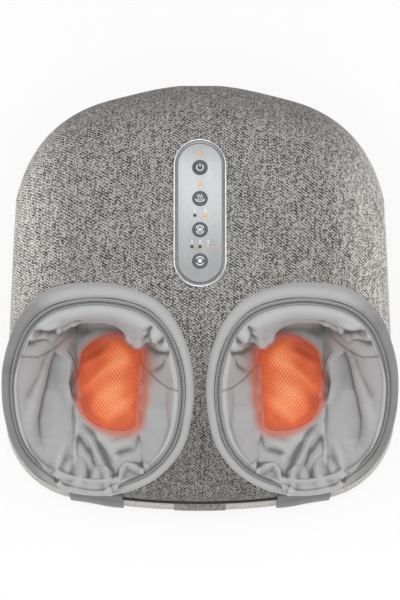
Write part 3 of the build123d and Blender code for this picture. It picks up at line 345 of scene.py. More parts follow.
def satin_metal(name, colour, roughness=0.3, stretch=(2600, 9, 2600), depth=0.05, reflection_band=False):
    """Metal brushed along the body, with a painted reflection band along its length if asked for."""
    finish = Finish(name, roughness=roughness, metallic=0.85)
    brush = finish.noise(finish.place(scale=stretch), detail=4.0, roughness=0.65)
    slow = finish.noise(finish.place(scale=(60, 2, 60)), detail=1.0)
    shade = (brush * 0.7 + slow * 0.3).ramp(0.25, 0.75).blend(tinted(colour, 0.80), tinted(colour, 1.14))
    if reflection_band:
        # Painted reflection: a pale band near the plate's back end, darker towards its front and a little at the
        # back
        along = finish.parts(finish.place())[1]
        shade = (along.ramp(-0.02, 0.085, 0.42, 0.92) * along.ramp(0.085, 0.125, 1.0, 0.70)).times(shade)
    finish.put(Base_Color=shade, Roughness=brush.ramp(0.2, 0.8, roughness * 0.8, roughness * 1.3))
    return finish.relief(brush, depth * MM, 0.4)


def moulded(name, colour, roughness=0.55, grain=1800, depth=0.04, metallic=0.0, coat=0.0):
    """Moulded plastic or plain metal with a fine grain and slight wear."""
    finish = Finish(name, roughness=roughness, metallic=metallic, Coat_Weight=coat)
    fine, wear = finish.noise(finish.place(), grain, 2.0, 0.6), finish.noise(finish.place(), 60, 3.0, 0.6)
    tone = (fine * 0.35 + wear * 0.65).ramp(0.25, 0.75)
    finish.put(Base_Color=tone.blend(tinted(colour, 0.85), tinted(colour, 1.12)))
    finish.put(Roughness=wear.ramp(0.3, 0.7, roughness * 0.85, min(1.0, roughness * 1.2)))
    return finish.relief(fine, depth * MM, 0.5)


def lamp(name, colour, strength):
    """A lit or dark indicator lens."""
    finish = Finish(name, roughness=0.25, Coat_Weight=0.5)
    spot = finish.noise(finish.place(), 900, 1.0).ramp(0.2, 0.8)
    lens = spot.blend(tinted(colour, 0.85), colour)
    finish.put(Base_Color=lens, Emission_Color=lens, Emission_Strength=strength)
    return finish.relief(spot, 0.02 * MM, 0.3)


# Rows of numbers and points
def ramp(values, low, high):
    """Values mapped smoothly from low..high to 0..1."""
    share = np.clip((values - low) / (high - low), 0, 1)
    return share * share * (3 - 2 * share)


def evened(values, rounds, axis=0):
    """A closed row of numbers or points, smoothed."""
    for _ in range(rounds):
        values = (np.roll(values, 1, axis=axis) + 2 * values + np.roll(values, -1, axis=axis)) / 4
    return values


def blurred(grid, rounds, keep=0):
    """Closed rows of numbers or points, smoothed both ways, apart from the first rows that are kept."""
    for _ in range(rounds):
        around = evened(grid, 1, axis=1)
        near = np.concatenate((around[:1], around, around[-1:]))
        grid = np.concatenate((grid[:keep], ((near[:-2] + 2 * around + near[2:]) / 4)[keep:]))
    return grid


def lengths_along(points):
    """How far along a line each of its points lies."""
    return np.concatenate(((0,), np.cumsum(np.linalg.norm(np.diff(points, axis=0), axis=1))))


# Mesh helpers
def added(name, data):
    """A new object in the scene."""
    thing = bpy.data.objects.new(name, data)
    bpy.context.scene.collection.objects.link(thing)
    return thing


def new_piece(name, points, faces, finish):
    """A mesh object at the origin, with one material."""
    mesh = bpy.data.meshes.new(name)
    mesh.from_pydata([tuple(p) for p in points], [], [tuple(f) for f in faces])
    mesh.validate()
    mesh.polygons.foreach_set("use_smooth", [True] * len(mesh.polygons))
    mesh.update()
    mesh.materials.append(finish.material)
    return added(name, mesh)


def new_curve(name, loops, dimensions):
    """A curve object through closed loops of points."""
    curve = bpy.data.curves.new(name, "CURVE")
    curve.dimensions = dimensions
    for loop in loops:
        spline = curve.splines.new("POLY")
        spline.points.add(len(loop) - 1)
        spline.points.foreach_set("co", np.column_stack((loop, np.ones(len(loop)))).ravel())
        spline.use_cyclic_u = True
    return added(name, curve)


def plain(thing):
    """What an object's curve, text or modifiers make, as a plain mesh object in its place."""
    mesh = bpy.data.meshes.new_from_object(thing.evaluated_get(bpy.context.evaluated_depsgraph_get()))
    name = thing.name
    bpy.data.batch_remove([thing, thing.data])
    mesh.name = name
    return added(name, mesh)


def thicken(piece, thickness, offset):
    """Give a sheet its thickness."""
    solid = piece.modifiers.new("thickness", "SOLIDIFY")
    solid.thickness = thickness
    solid.offset = offset
    return plain(piece)


def grid_faces(rows, columns, closed=True):
    """Quads between the rows of a grid of points."""
    index = np.arange(rows * columns).reshape(rows, columns)
    across = np.roll(index, -1, axis=1) if closed else index[:, 1:]
    left = index if closed else index[:, :-1]
    return np.stack((left[:-1], across[:-1], across[1:], left[1:]), axis=-1).reshape(-1, 4)


def capped_faces(points, sign, probe):
    """Faces between rows of points, with the last row closed, turned so that the face probe looks up."""
    rows, columns = points.shape[:2]
    faces = grid_faces(rows, columns).tolist() + [list(range((rows - 1) * columns, rows * columns))]
    a, b, c = points.reshape(-1, 3)[faces[probe][:3]]
    return faces if sign * np.cross(b - a, c - a)[2] > 0 else [face[::-1] for face in faces]


def put_uv(piece, uv):
    """Texture coordinates for each point of a piece."""
    layer = piece.data.uv_layers.new(name="UVMap")
    corners = np.empty(len(piece.data.loops), dtype=np.int32)
    piece.data.loops.foreach_get("vertex_index", corners)
    layer.data.foreach_set("uv", np.asarray(uv, dtype=np.float32)[corners].ravel())


def paint(piece, name, values):
    """A number for each point, for the piece's material to read."""
    layer = piece.data.attributes.new(name, "FLOAT", "POINT")
    layer.data.foreach_set("value", np.asarray(values, dtype=np.float32))


def settle(piece, body, slot_name, *nodes):
    """Hand a finished piece to its body and hide the nodes it stands for; the slot name is not used."""
    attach(piece, body)
    if nodes:
        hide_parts(*nodes)
    return piece


# Outlines of arcs
def fillet_centre(first, first_radius, second, second_radius, corner, sign):
    """Centre of the arc of radius corner inside two larger circles."""
    a, b = first_radius - corner, second_radius - corner
    gap = second - first
    distance = np.hypot(*gap)
    along = (a * a - b * b + distance * distance) / (2 * distance)
    height = math.sqrt(a * a - along * along)
    unit = gap / distance
    return first + unit * along + sign * height * np.array((-unit[1], unit[0]))


def arc_outline(half_width, half_length, front, back, side, front_corner, back_corner, step=2.0):
    """Points and outward normals of a closed outline of arcs, anticlockwise from +X, front at -Y."""
    right = np.array((half_width - side, 0.0))
    heel = np.array((0.0, front - half_length))
    toe = np.array((0.0, half_length - back))
    back_centre = fillet_centre(right, side, toe, back, back_corner, 1)
    if back_centre[1] < 0:
        back_centre = fillet_centre(right, side, toe, back, back_corner, -1)
    front_centre = fillet_centre(right, side, heel, front, front_corner, -1)
    if front_centre[1] > 0:
        front_centre = fillet_centre(right, side, heel, front, front_corner, 1)

    def bearing(start, end):
        return math.degrees(math.atan2(end[1] - start[1], end[0] - start[0]))

    up, over = bearing(right, back_centre), bearing(toe, back_centre)
    down, under = bearing(right, front_centre), bearing(heel, front_centre)
    mirror = np.array((-1.0, 1.0))
    arcs = (
        (right, side, down, up), (back_centre, back_corner, up, over), (toe, back, over, 180 - over),
        (back_centre * mirror, back_corner, 180 - over, 180 - up),
        (right * mirror, side, 180 - up, 180 - down),
        (front_centre * mirror, front_corner, 180 - down, 180 - under),
        (heel, front, 180 - under, 360 + under), (front_centre, front_corner, 360 + under, 360 + down),
    )
    points, normals = [], []
    for centre, radius, start, end in arcs:
        count = max(2, math.ceil((end - start) / min(step, math.degrees(0.006 / (radius * MM)))))
        for i in range(count):
            angle = math.radians(start + (end - start) * i / count)
            normal = np.array((math.cos(angle), math.sin(angle)))
            points.append(centre + radius * normal)
            normals.append(normal)
    return np.array(points) * MM, np.array(normals)


def resample(points, normals, count):
    """The same closed outline at equal distances."""
    closed = np.vstack((points, points[:1]))
    lengths = np.concatenate(((0,), np.cumsum(np.hypot(*np.diff(closed, axis=0).T))))
    wanted = np.linspace(0, lengths[-1], count, endpoint=False)
    closed_normals = np.vstack((normals, normals[:1]))
    place = np.stack([np.interp(wanted, lengths, closed[:, k]) for k in (0, 1)], axis=1)
    facing = np.stack([np.interp(wanted, lengths, closed_normals[:, k]) for k in (0, 1)], axis=1)
    return place, facing / np.linalg.norm(facing, axis=1)[:, None], lengths[-1]


BASE_HALF_DEPTH = 203.0
BASE_FRONT_RADIUS = 660.0


def body_outline(count=520):
    """The base's outline from above."""
    points, normals = arc_outline(197.0, BASE_HALF_DEPTH, BASE_FRONT_RADIUS, 340.0, 60000.0, 86.0, 80.0)
    return resample(points, normals, count)


def cuff_outline(count=400):
    """A cuff's outline in its own plane."""
    points, normals = arc_outline(92.0, 104.0, 107.0, 130.0, 160.0, 84.0, 66.0)
    return resample(points, normals, count)


CUFF_TILT = math.radians(32.0)
CUFF_CENTRE = np.array((97.8, -113.0, 116.0)) * MM
CUFF_UP = np.array((0.0, math.cos(CUFF_TILT), math.sin(CUFF_TILT)))
CUFF_OUT = np.array((0.0, -math.sin(CUFF_TILT), math.cos(CUFF_TILT)))


def rim_spread(outline):
    """How much wider the rim is at the top of the opening, in metres, at each point of the outline."""
    return 3.4 * MM * ramp(outline[:, 1], 15 * MM, 95 * MM)


def cuff_place(outline, normals, inset, rise):
    """Points of the right cuff, drawn in by inset and raised by rise above the rim's plane, in metres."""
    flat = outline - normals * np.asarray(inset).reshape(-1, 1)
    rise = np.broadcast_to(rise, len(flat)).reshape(-1, 1)
    return CUFF_CENTRE + flat[:, :1] * np.array((1.0, 0, 0)) + flat[:, 1:] * CUFF_UP + rise * CUFF_OUT


def inside_cuff(points, sign, inset):
    """Which points lie within a cuff's outline, seen along its axis."""
    outline, normals, _ = cuff_outline(200)
    ring = outline - normals * inset
    local = points - CUFF_CENTRE * (sign, 1, 1)
    x, y = local[:, 0] * sign, local @ CUFF_UP
    inside = np.zeros(len(points), dtype=bool)
    for (x0, y0), (x1, y1) in zip(ring, np.roll(ring, -1, axis=0)):
        crosses = (y0 > y) != (y1 > y)
        if y1 != y0:
            inside ^= crosses & (x < (x1 - x0) * (y - y0) / (y1 - y0) + x0)
    return inside


DECK_TILT = math.radians(12.5)
DECK_CENTRE = np.array((0.0, 48.0, 177.0)) * MM
DECK_UP = np.array((0.0, math.cos(DECK_TILT), math.sin(DECK_TILT)))
DECK_OUT = np.array((0.0, -math.sin(DECK_TILT), math.cos(DECK_TILT)))


def deck_place(points):
    """Points on the deck, given across, along and above it."""
    points = np.asarray(points, dtype=float)
    return DECK_CENTRE + points[:, :1] * np.array((1.0, 0, 0)) + points[:, 1:2] * DECK_UP + points[:, 2:] * DECK_OUT


# Cloth cover
def cover_radii(azimuths, elevations, centre):
    """Distance to the cover along each ray from its middle, with the openings filled in smoothly."""
    source = frame["nodes"]["fabric_cover"].data
    tree = BVHTree.FromPolygons(
        [v.co.copy() for v in source.vertices], [tuple(p.vertices) for p in source.polygons]
    )
    radii = np.full((len(elevations), len(azimuths)), np.nan)
    reach = 0.5
    for i, elevation in enumerate(elevations):
        for j, azimuth in enumerate(azimuths):
            ray = Vector((
                math.sin(azimuth) * math.cos(elevation), math.cos(azimuth) * math.cos(elevation),
                math.sin(elevation),
            ))
            hit, facing, _, distance = tree.ray_cast(Vector(centre) + ray * reach, -ray, reach - 0.04)
            if hit is not None and facing.dot(ray) > 0.15:
                radii[i, j] = reach - distance
    missing = np.isnan(radii)
    radii[missing] = np.nanmean(radii)
    for _ in range(2600):
        near = np.pad(radii, ((1, 1), (0, 0)), mode="edge")
        mean = (near[:-2] + near[2:] + np.roll(radii, 1, axis=1) + np.roll(radii, -1, axis=1)) / 4
        radii[missing] = mean[missing]
    return radii


def softened(radii, harmonics):
    """Rows of a closed outline with only their slow changes round the body kept."""
    spectrum = np.fft.rfft(radii, axis=1)
    keep = np.exp(-((np.arange(spectrum.shape[1]) / harmonics) ** 2))
    return np.fft.irfft(spectrum * (2 * keep - keep * keep), n=radii.shape[1], axis=1)


def rounded_out(packed, rounds):
    """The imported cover's flat sides filled out to the round form that passes through their corners."""
    low = blurred(softened(packed, 6.5), rounds)
    spare = packed - low
    for i in range(17):
        spare = np.maximum(spare, np.maximum(np.roll(spare, 1, axis=1), np.roll(spare, -1, axis=1)))
        if i < 9:
            tall = np.concatenate((spare[:1], spare, spare[-1:]))
            spare = np.maximum(spare, np.maximum(tall[:-2], tall[2:]))
    return np.minimum(low + blurred(spare, 60), packed + 8 * MM)


def off_panel(points):
    """Distance of points from the line down the middle of the control panel."""
    local = points - DECK_CENTRE
    straight = np.clip(np.abs(local @ DECK_UP) - 46 * MM, 0, None)
    return np.hypot(local[..., 0], straight)


def cover_shade(points):
    """Painted light and shade on the cover at each point: palest at the sides and their very edges, darkest between
    the cuffs, and darker at the back in the middle.
    """
    x, y = np.abs(points[:, 0]), points[:, 1]
    shade = 0.57 + 0.56 * ramp(x, 0.115, 0.190) + 0.14 * ramp(x, 0.178, 0.194)
    shade -= 0.16 * ramp(-y, 0.02, 0.14) * (1 - ramp(x, 0.02, 0.12))
    return shade - 0.13 * ramp(y, 0.10, 0.19) * (1 - ramp(x, 0.10, 0.17))


COVER_MIDDLE = np.array((0.0, 0.02, 0.03))
HEM_Z = 25.4 * MM
CUFF_CUT = 13 * MM
PANEL_CUT = 23 * MM


def cover_points(azimuths, softness):
    """Rows of points from the cover's hem, tucked in under the strip's edge, to its top."""
    elevations = np.linspace(0, math.pi / 2, 110)
    packed = cover_radii(azimuths, elevations, COVER_MIDDLE)
    rays = np.stack((
        np.cos(elevations)[:, None] * np.sin(azimuths), np.cos(elevations)[:, None] * np.cos(azimuths),
        np.repeat(np.sin(elevations)[:, None], len(azimuths), axis=1),
    ), axis=-1)
    flat_sided = COVER_MIDDLE + rays * packed[..., None]
    plain_share = np.maximum(
        1 - ramp(off_panel(flat_sided), 28 * MM, 70 * MM), 1 - ramp(flat_sided[..., 2], 0.045, 0.095)
    )
    radii = rounded_out(packed, softness)
    radii += (blurred(packed, 2) - radii) * plain_share
    points = COVER_MIDDLE + rays * blurred(radii, 3)[..., None]
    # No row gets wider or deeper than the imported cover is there, and the sides stay inside the strip
    for axis in (0, 1):
        tucked = 1.2 * MM * (1 - axis) * ramp(flat_sided[..., 2], 0.060, 0.095)
        widest = flat_sided[..., axis].max(axis=1)[:, None] + (0.2 + 1.3 * axis) * MM - tucked
        narrowest = flat_sided[..., axis].min(axis=1)[:, None] - 0.2 * MM + tucked
        points[..., axis] = np.clip(points[..., axis], narrowest, widest)
    hem = points[0] * (1, 1, 0) + (0, 0, HEM_Z)
    points = np.concatenate((hem[None], points))
    outward = points[..., :2] - COVER_MIDDLE[:2]
    outward /= np.linalg.norm(outward, axis=2)[..., None] + 1e-9
    points[..., :2] += outward * 0.3 * MM * (1 - ramp(points[..., 2], 32 * MM, 95 * MM))[..., None]
    return np.concatenate((points[:1] * (0.975, 0.975, 1.0), points))


def make_cover(settings):
    """The linen cover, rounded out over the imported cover's flat sides and cut out for the cuffs and panel."""
    azimuths = np.linspace(0, 2 * math.pi, 420, endpoint=False)
    points = cover_points(azimuths, settings.edge_softness)
    steps = np.linalg.norm(np.diff(points, axis=0), axis=2)
    climb = np.concatenate((np.cumsum(steps[::-1], axis=0)[::-1], np.zeros((1, len(azimuths)))))
    flat = points.reshape(-1, 3)
    faces = grid_faces(*points.shape[:2])[:, ::-1]
    middle = flat[faces].mean(axis=1)
    gone = inside_cuff(middle, 1, CUFF_CUT) | inside_cuff(middle, -1, CUFF_CUT)
    gone |= (off_panel(middle) < PANEL_CUT) & (middle[:, 2] > 0.10)
    piece = new_piece("linen_cover", flat, faces[~gone], LOOKS["linen"])
    put_uv(piece, np.stack((climb * np.sin(azimuths), climb * np.cos(azimuths)), axis=-1).reshape(-1, 2))
    # Painted light and shade, multiplied into the yarn's colour: paler at the sides, darker between the cuffs and at
    # the back
    paint(piece, "shade", cover_shade(flat))
    tidy_loose(piece)
    return settle(piece, HOUSING, "cover_cloth", "fabric_cover")


def tidy_loose(piece):
    """Remove points that no face uses."""
    work = bmesh.new()
    work.from_mesh(piece.data)
    bmesh.ops.delete(work, geom=[v for v in work.verts if not v.link_faces], context="VERTS")
    work.to_mesh(piece.data)
    work.free()


def swept_ring(name, rings, look, slot_name, nodes=(), flip=False):
    """A closed band through rows of points that go round an outline."""
    points = np.array(rings)
    faces = grid_faces(*points.shape[:2])
    piece = new_piece(name, points.reshape(-1, 3), faces if flip else faces[:, ::-1], LOOKS[look])
    uv = np.stack(np.meshgrid(lengths_along(points[0]), lengths_along(points[:, 0])), axis=-1)
    put_uv(piece, uv.reshape(-1, 2))
    return settle(piece, HOUSING, slot_name, *nodes)


def base_ring(name, section, look, slot_name, node):
    """A band round the base, through a section of insets and heights in mm."""
    outline, normals, _ = body_outline()
    rings = [
        np.column_stack((outline - normals * inset * MM, np.full(len(outline), z * MM))) for inset, z in section
    ]
    return swept_ring(name, rings, look, slot_name, (node,))


def make_band():
    """The cloth strip round the base, with its edges turned in."""
    section = (
        (5.0, 8.2), (2.0, 8.0), (0.7, 8.6), (0.15, 10.5), (0.0, 14.0), (0.0, 18.0), (0.15, 21.5),
        (0.8, 24.0), (2.2, 24.9), (5.5, 24.9),
    )
    piece = base_ring("base_strip", section, "band", "band_cloth", "base_band")
    paint(piece, "shade", np.ones(len(piece.data.vertices)))


def make_welt():
    """The dark cord in the seam above the strip."""
    angles = np.linspace(0, 2 * math.pi, 13)
    section = np.stack((3.9 + 1.3 * np.cos(angles), 26.2 + 1.3 * np.sin(angles)), axis=1)
    base_ring("seam_welt", section, "welt", "piping_cloth", "seam_piping")


def front_y(x, inset):
    """How far forward the base's outline stands at x."""
    return (BASE_FRONT_RADIUS - BASE_HALF_DEPTH + inset) * MM - math.sqrt((BASE_FRONT_RADIUS * MM) ** 2 - x * x)


def make_front_tab():
    """The dark woven patch at the middle of the strip."""
    xs = np.linspace(-25.5, 25.5, 30) * MM
    section = ((2.0, 7.9), (0.4, 8.2), (-0.3, 9.0), (-0.35, 14), (-0.35, 20), (-0.3, 24.0), (0.5, 25.1), (2.5, 25.3))
    points = [(x, front_y(x, inset), z * MM) for inset, z in section for x in xs]
    faces = grid_faces(len(section), len(xs), closed=False)
    piece = new_piece("front_patch", points, faces[:, ::-1], LOOKS["patch"])
    put_uv(piece, [(x, up * MM) for up in lengths_along(section) for x in xs])
    paint(piece, "shade", np.full(len(points), 0.62))
    return settle(piece, HOUSING, "cover_cloth")


def make_heel_flap(side, sign):
    """The plain grey patch that hangs from under a cuff, over the seam and the strip."""
    low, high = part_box(f"{side}_heel_flap")
    inner, outer = sorted((abs(low[0]), abs(high[0])))
    xs = np.linspace(inner, outer, 30)
    section = (
        (-0.9, 8.6), (-1.0, 12.0), (-1.0, 20.0), (-0.9, 24.5), (0.0, 28.0), (1.4, 33.0), (2.8, 38.0), (3.6, 44.0),
    )
    points = [
        (x * sign, front_y(x, inset) - 0.4 * MM * math.sin(7 * (x - inner) / (outer - inner)), z * MM)
        for inset, z in section for x in xs
    ]
    faces = grid_faces(len(section), len(xs), closed=False)
    piece = new_piece(f"{side}_heel_patch", points, faces[:, ::-1] if sign > 0 else faces, LOOKS["flap"])
    piece = thicken(piece, 0.9 * MM, -1)
    paint(piece, "fold_shade", np.ones(len(piece.data.vertices)))
    return settle(piece, HOUSING, "flap_cloth", f"{side}_heel_flap")


# Cuffs
def mirrored(points, sign):
    """Points of the right foot's side, or their mirror image."""
    return np.asarray(points) * (sign, 1, 1)


def make_collar(side, sign):
    """The padded rim of a foot opening and its neck."""
    outline, normals, _ = cuff_outline()
    section = (
        (6.0, -74), (2.2, -58), (0.6, -40), (0.0, -26), (-0.4, -17), (-0.5, -11), (-0.2, -6.5), (0.6, -3.2),
        (2.0, -1.0), (3.8, 0.1), (5.4, -0.1), (6.8, -1.0), (7.7, -2.4), (8.1, -4.2), (8.2, -8.0),
    )
    turn = np.arange(len(outline)) * 2 * math.pi / len(outline)
    ripple = (0.35 * np.sin(7 * turn + 0.6) + 0.25 * np.sin(13 * turn + 2.1)) * 0.5 * MM
    rings = []
    for inset, rise in section:
        wide = rim_spread(outline) * max(0.0, inset / 8.2) if rise > -20 else 0.0
        rings.append(mirrored(cuff_place(outline, normals, inset * MM + ripple + wide, rise * MM), sign))
    piece = swept_ring(f"{side}_padded_cuff", rings, "cuff", "collar_cloth", (f"{side}_collar",), flip=sign < 0)
    # Painted shade: darker down the neck and where the rim turns in to the zip, much darker on the cuff's outer
    # side, a little on its inner side
    height = np.repeat([0.4, 0.5, 0.7, 0.8, 0.85, 0.9, 0.95, 1, 1, 1, 1, 1, 0.7, 0.3, 0.1], len(outline))
    outer = np.tile(1 - 0.95 * ramp(normals[:, 0], 0.1, 0.9) - 0.12 * ramp(-normals[:, 0], 0.3, 1), len(section))
    paint(piece, "fold_shade", height * outer)


def zip_ring(sign, inset, rise):
    """Points round the zip, at an inset and a rise in mm."""
    outline, normals, _ = cuff_outline()
    return mirrored(cuff_place(outline, normals, inset * MM + rim_spread(outline), rise * MM), sign)


def make_zip_tape(side, sign):
    """The zip's tape, a flat ribbed ring with a raised coil bed."""
    section = (
        (8.3, -4.2), (8.4, -3.0), (9.6, -2.6), (10.8, -2.5), (11.0, -2.1), (12.2, -2.1), (12.4, -2.5),
        (13.8, -2.5), (14.9, -2.8), (15.0, -4.2),
    )
    rings = [zip_ring(sign, inset, rise) for inset, rise in section]
    swept_ring(f"{side}_zip_tape", rings, "zip", "zip_tape", (f"{side}_zipper",), flip=sign < 0)


def follower_tree(name, finish):
    """Geometry nodes that set small blocks along a curve at a pitch."""
    tree = bpy.data.node_groups.new(name, "GeometryNodeTree")
    for label, kind in (("Geometry", "Geometry"), ("Pitch", "Float"), ("Size", "Vector")):
        tree.interface.new_socket(name=label, in_out="INPUT", socket_type=f"NodeSocket{kind}")
    tree.interface.new_socket(name="Geometry", in_out="OUTPUT", socket_type="NodeSocketGeometry")
    start, end = tree.nodes.new("NodeGroupInput"), tree.nodes.new("NodeGroupOutput")
    along, block, place, solid, shade = (
        tree.nodes.new(f"GeometryNode{kind}")
        for kind in ("CurveToPoints", "MeshCube", "InstanceOnPoints", "RealizeInstances", "SetMaterial")
    )
    along.mode = "LENGTH"
    shade.inputs["Material"].default_value = finish.material
    for source, output, target, socket in (
        (start, "Geometry", along, "Curve"), (start, "Pitch", along, "Length"), (start, "Size", block, "Size"),
        (along, "Points", place, "Points"), (along, "Rotation", place, "Rotation"),
        (block, "Mesh", place, "Instance"), (place, "Instances", solid, "Geometry"),
        (solid, "Geometry", shade, "Geometry"), (shade, "Geometry", end, "Geometry"),
    ):
        tree.links.new(source.outputs[output], target.inputs[socket])
    return tree


def follow(name, path, pitch, size, finish):
    """Small blocks along a closed path, such as zip teeth or stitches, as one plain mesh."""
    guide = new_curve(name, [path], "3D")
    guide.data.twist_mode = "MINIMUM"
    modifier = guide.modifiers.new("blocks", "NODES")
    modifier.node_group = follower_tree(f"{name}_nodes", finish)
    inputs = (item for item in modifier.node_group.interface.items_tree if item.in_out == "INPUT")
    named = {item.name: item.identifier for item in inputs}
    modifier[named["Pitch"]] = pitch
    modifier[named["Size"]] = size
    return settle(plain(guide), HOUSING, "zip_tape")


def make_cuff_sewing(side, sign, settings):
    """The coil's teeth, all the way round, and a row of stitches on each edge of the zip tape."""
    tooth, stitch = (2.0 * MM, 0.7 * MM, 0.85 * MM), (0.35 * MM, 0.35 * MM, 1.7 * MM)
    for label, inset, rise, pitch, size, look in (
        ("zip_teeth", 11.6, -1.9, settings.tooth_pitch, tooth, "zip_teeth"),
        ("outer_stitches", 9.5, -2.45, settings.stitch_pitch, stitch, "thread"),
        ("inner_stitches", 13.9, -2.35, settings.stitch_pitch, stitch, "thread"),
    ):
        follow(f"{side}_{label}", zip_ring(sign, inset, rise), pitch, size, LOOKS[look])


# Foot liners
CAMERA_RISE = math.radians(70)
EYE = np.array((0.0, -0.005 - 1.5 * math.cos(CAMERA_RISE), 0.08 + 1.5 * math.sin(CAMERA_RISE)))
LOOK = np.array((0.0, math.cos(CAMERA_RISE), -math.sin(CAMERA_RISE)))
RISE = np.array((0.0, math.sin(CAMERA_RISE), math.cos(CAMERA_RISE)))
PICTURE_MIDDLE = np.array((200.0, 300.0))
PICTURE_SCALE = 1500.0
SOLE_Z = 61.6 * MM

# Places in the 400 by 600 picture round the left foot's opening, in pixels
OPENING_MIDDLE = np.array((108.0, 390.0))

# Lower edge of the roll under the zip: place in the picture, drop below the rim in mm, and in mm how far
# the toe pocket reaches back behind it
LIP = (
    (171, 392, 6, 0), (169, 368, 9, 0), (165, 352, 14, 0), (158, 342, 20, 10), (150, 343, 26, 50),
    (138, 347, 30, 140), (128, 340, 32, 180), (118, 328, 34, 190), (104, 323, 36, 190), (88, 325, 34, 190),
    (77, 331, 30, 160), (68, 337, 26, 80), (58, 339, 22, 20), (44, 336, 18, 0), (31, 342, 13, 0),
    (23, 352, 9, 0), (18, 372, 6, 0), (18, 400, 5, 0), (23, 430, 5, 0), (33, 455, 5, 0), (47, 474, 4, 0),
    (62, 484, 3, 0), (80, 489, 2, 0), (100, 491, 2, 0), (115, 488, 2, 0), (128, 480, 3, 0), (142, 471, 4, 0),
    (155, 457, 5, 0), (164, 438, 5, 0), (169, 415, 5, 0),
)

# Edge of the sole, where the walls meet it
SOLE_EDGE = (
    (141, 388), (143, 366), (146, 352), (140, 338), (128, 330), (112, 326), (96, 326), (84, 334), (77, 346),
    (78, 366), (77, 390), (77, 420), (77, 444), (84, 456), (95, 464), (107, 469), (118, 464), (130, 460),
    (138, 450), (139, 428), (140, 408),
)

# Edge of the heated mesh
MESH_EDGE = (
    (142.5, 388), (143, 366), (141, 350), (134, 338), (122, 332), (106, 333), (93, 341), (83, 351), (80, 368),
    (78, 390), (80, 408), (86, 417), (94, 424), (105, 429), (117, 431.5), (128, 431), (137, 427), (140, 408),
)

# How far the heater's glow spreads past the mesh, in picture pixels, at the same kind of places
GLOW_SPREAD = ((160, 390, 9), (160, 350, 13), (120, 315, 5), (80, 330, 4), (60, 390, 4), (80, 440, 4), (115, 460, 8),
               (150, 440, 8))

# Painted pools of light and shade in the mesh's glow: place, radius and strength
HOT_SPOTS = (
    (112, 404, 15, 0.75), (118, 358, 12, 0.55), (112, 380, 22, 0.45), (128, 410, 10, 0.25), (93, 354, 12, -0.50),
    (86, 402, 9, -0.35), (100, 418, 8, 0.30), (134, 368, 8, -0.15),
)

# Seams: dark sewn lines
LINER_SEAMS = (
    ((11, 353), (22, 356.5), (37, 357.5), (49, 352), (60, 344), (72, 333)),
    ((68, 350), (73, 358), (77, 371), (78, 385)),
    ((178, 391), (168, 388), (158, 381), (149, 372), (142, 365)),
)
MESH_SEAMS = (
    ((80, 408), (86, 417), (94, 424), (105, 429), (117, 431.5), (128, 431), (137, 427)),
    ((143, 366), (142.5, 388), (140, 408), (137, 427)),
)

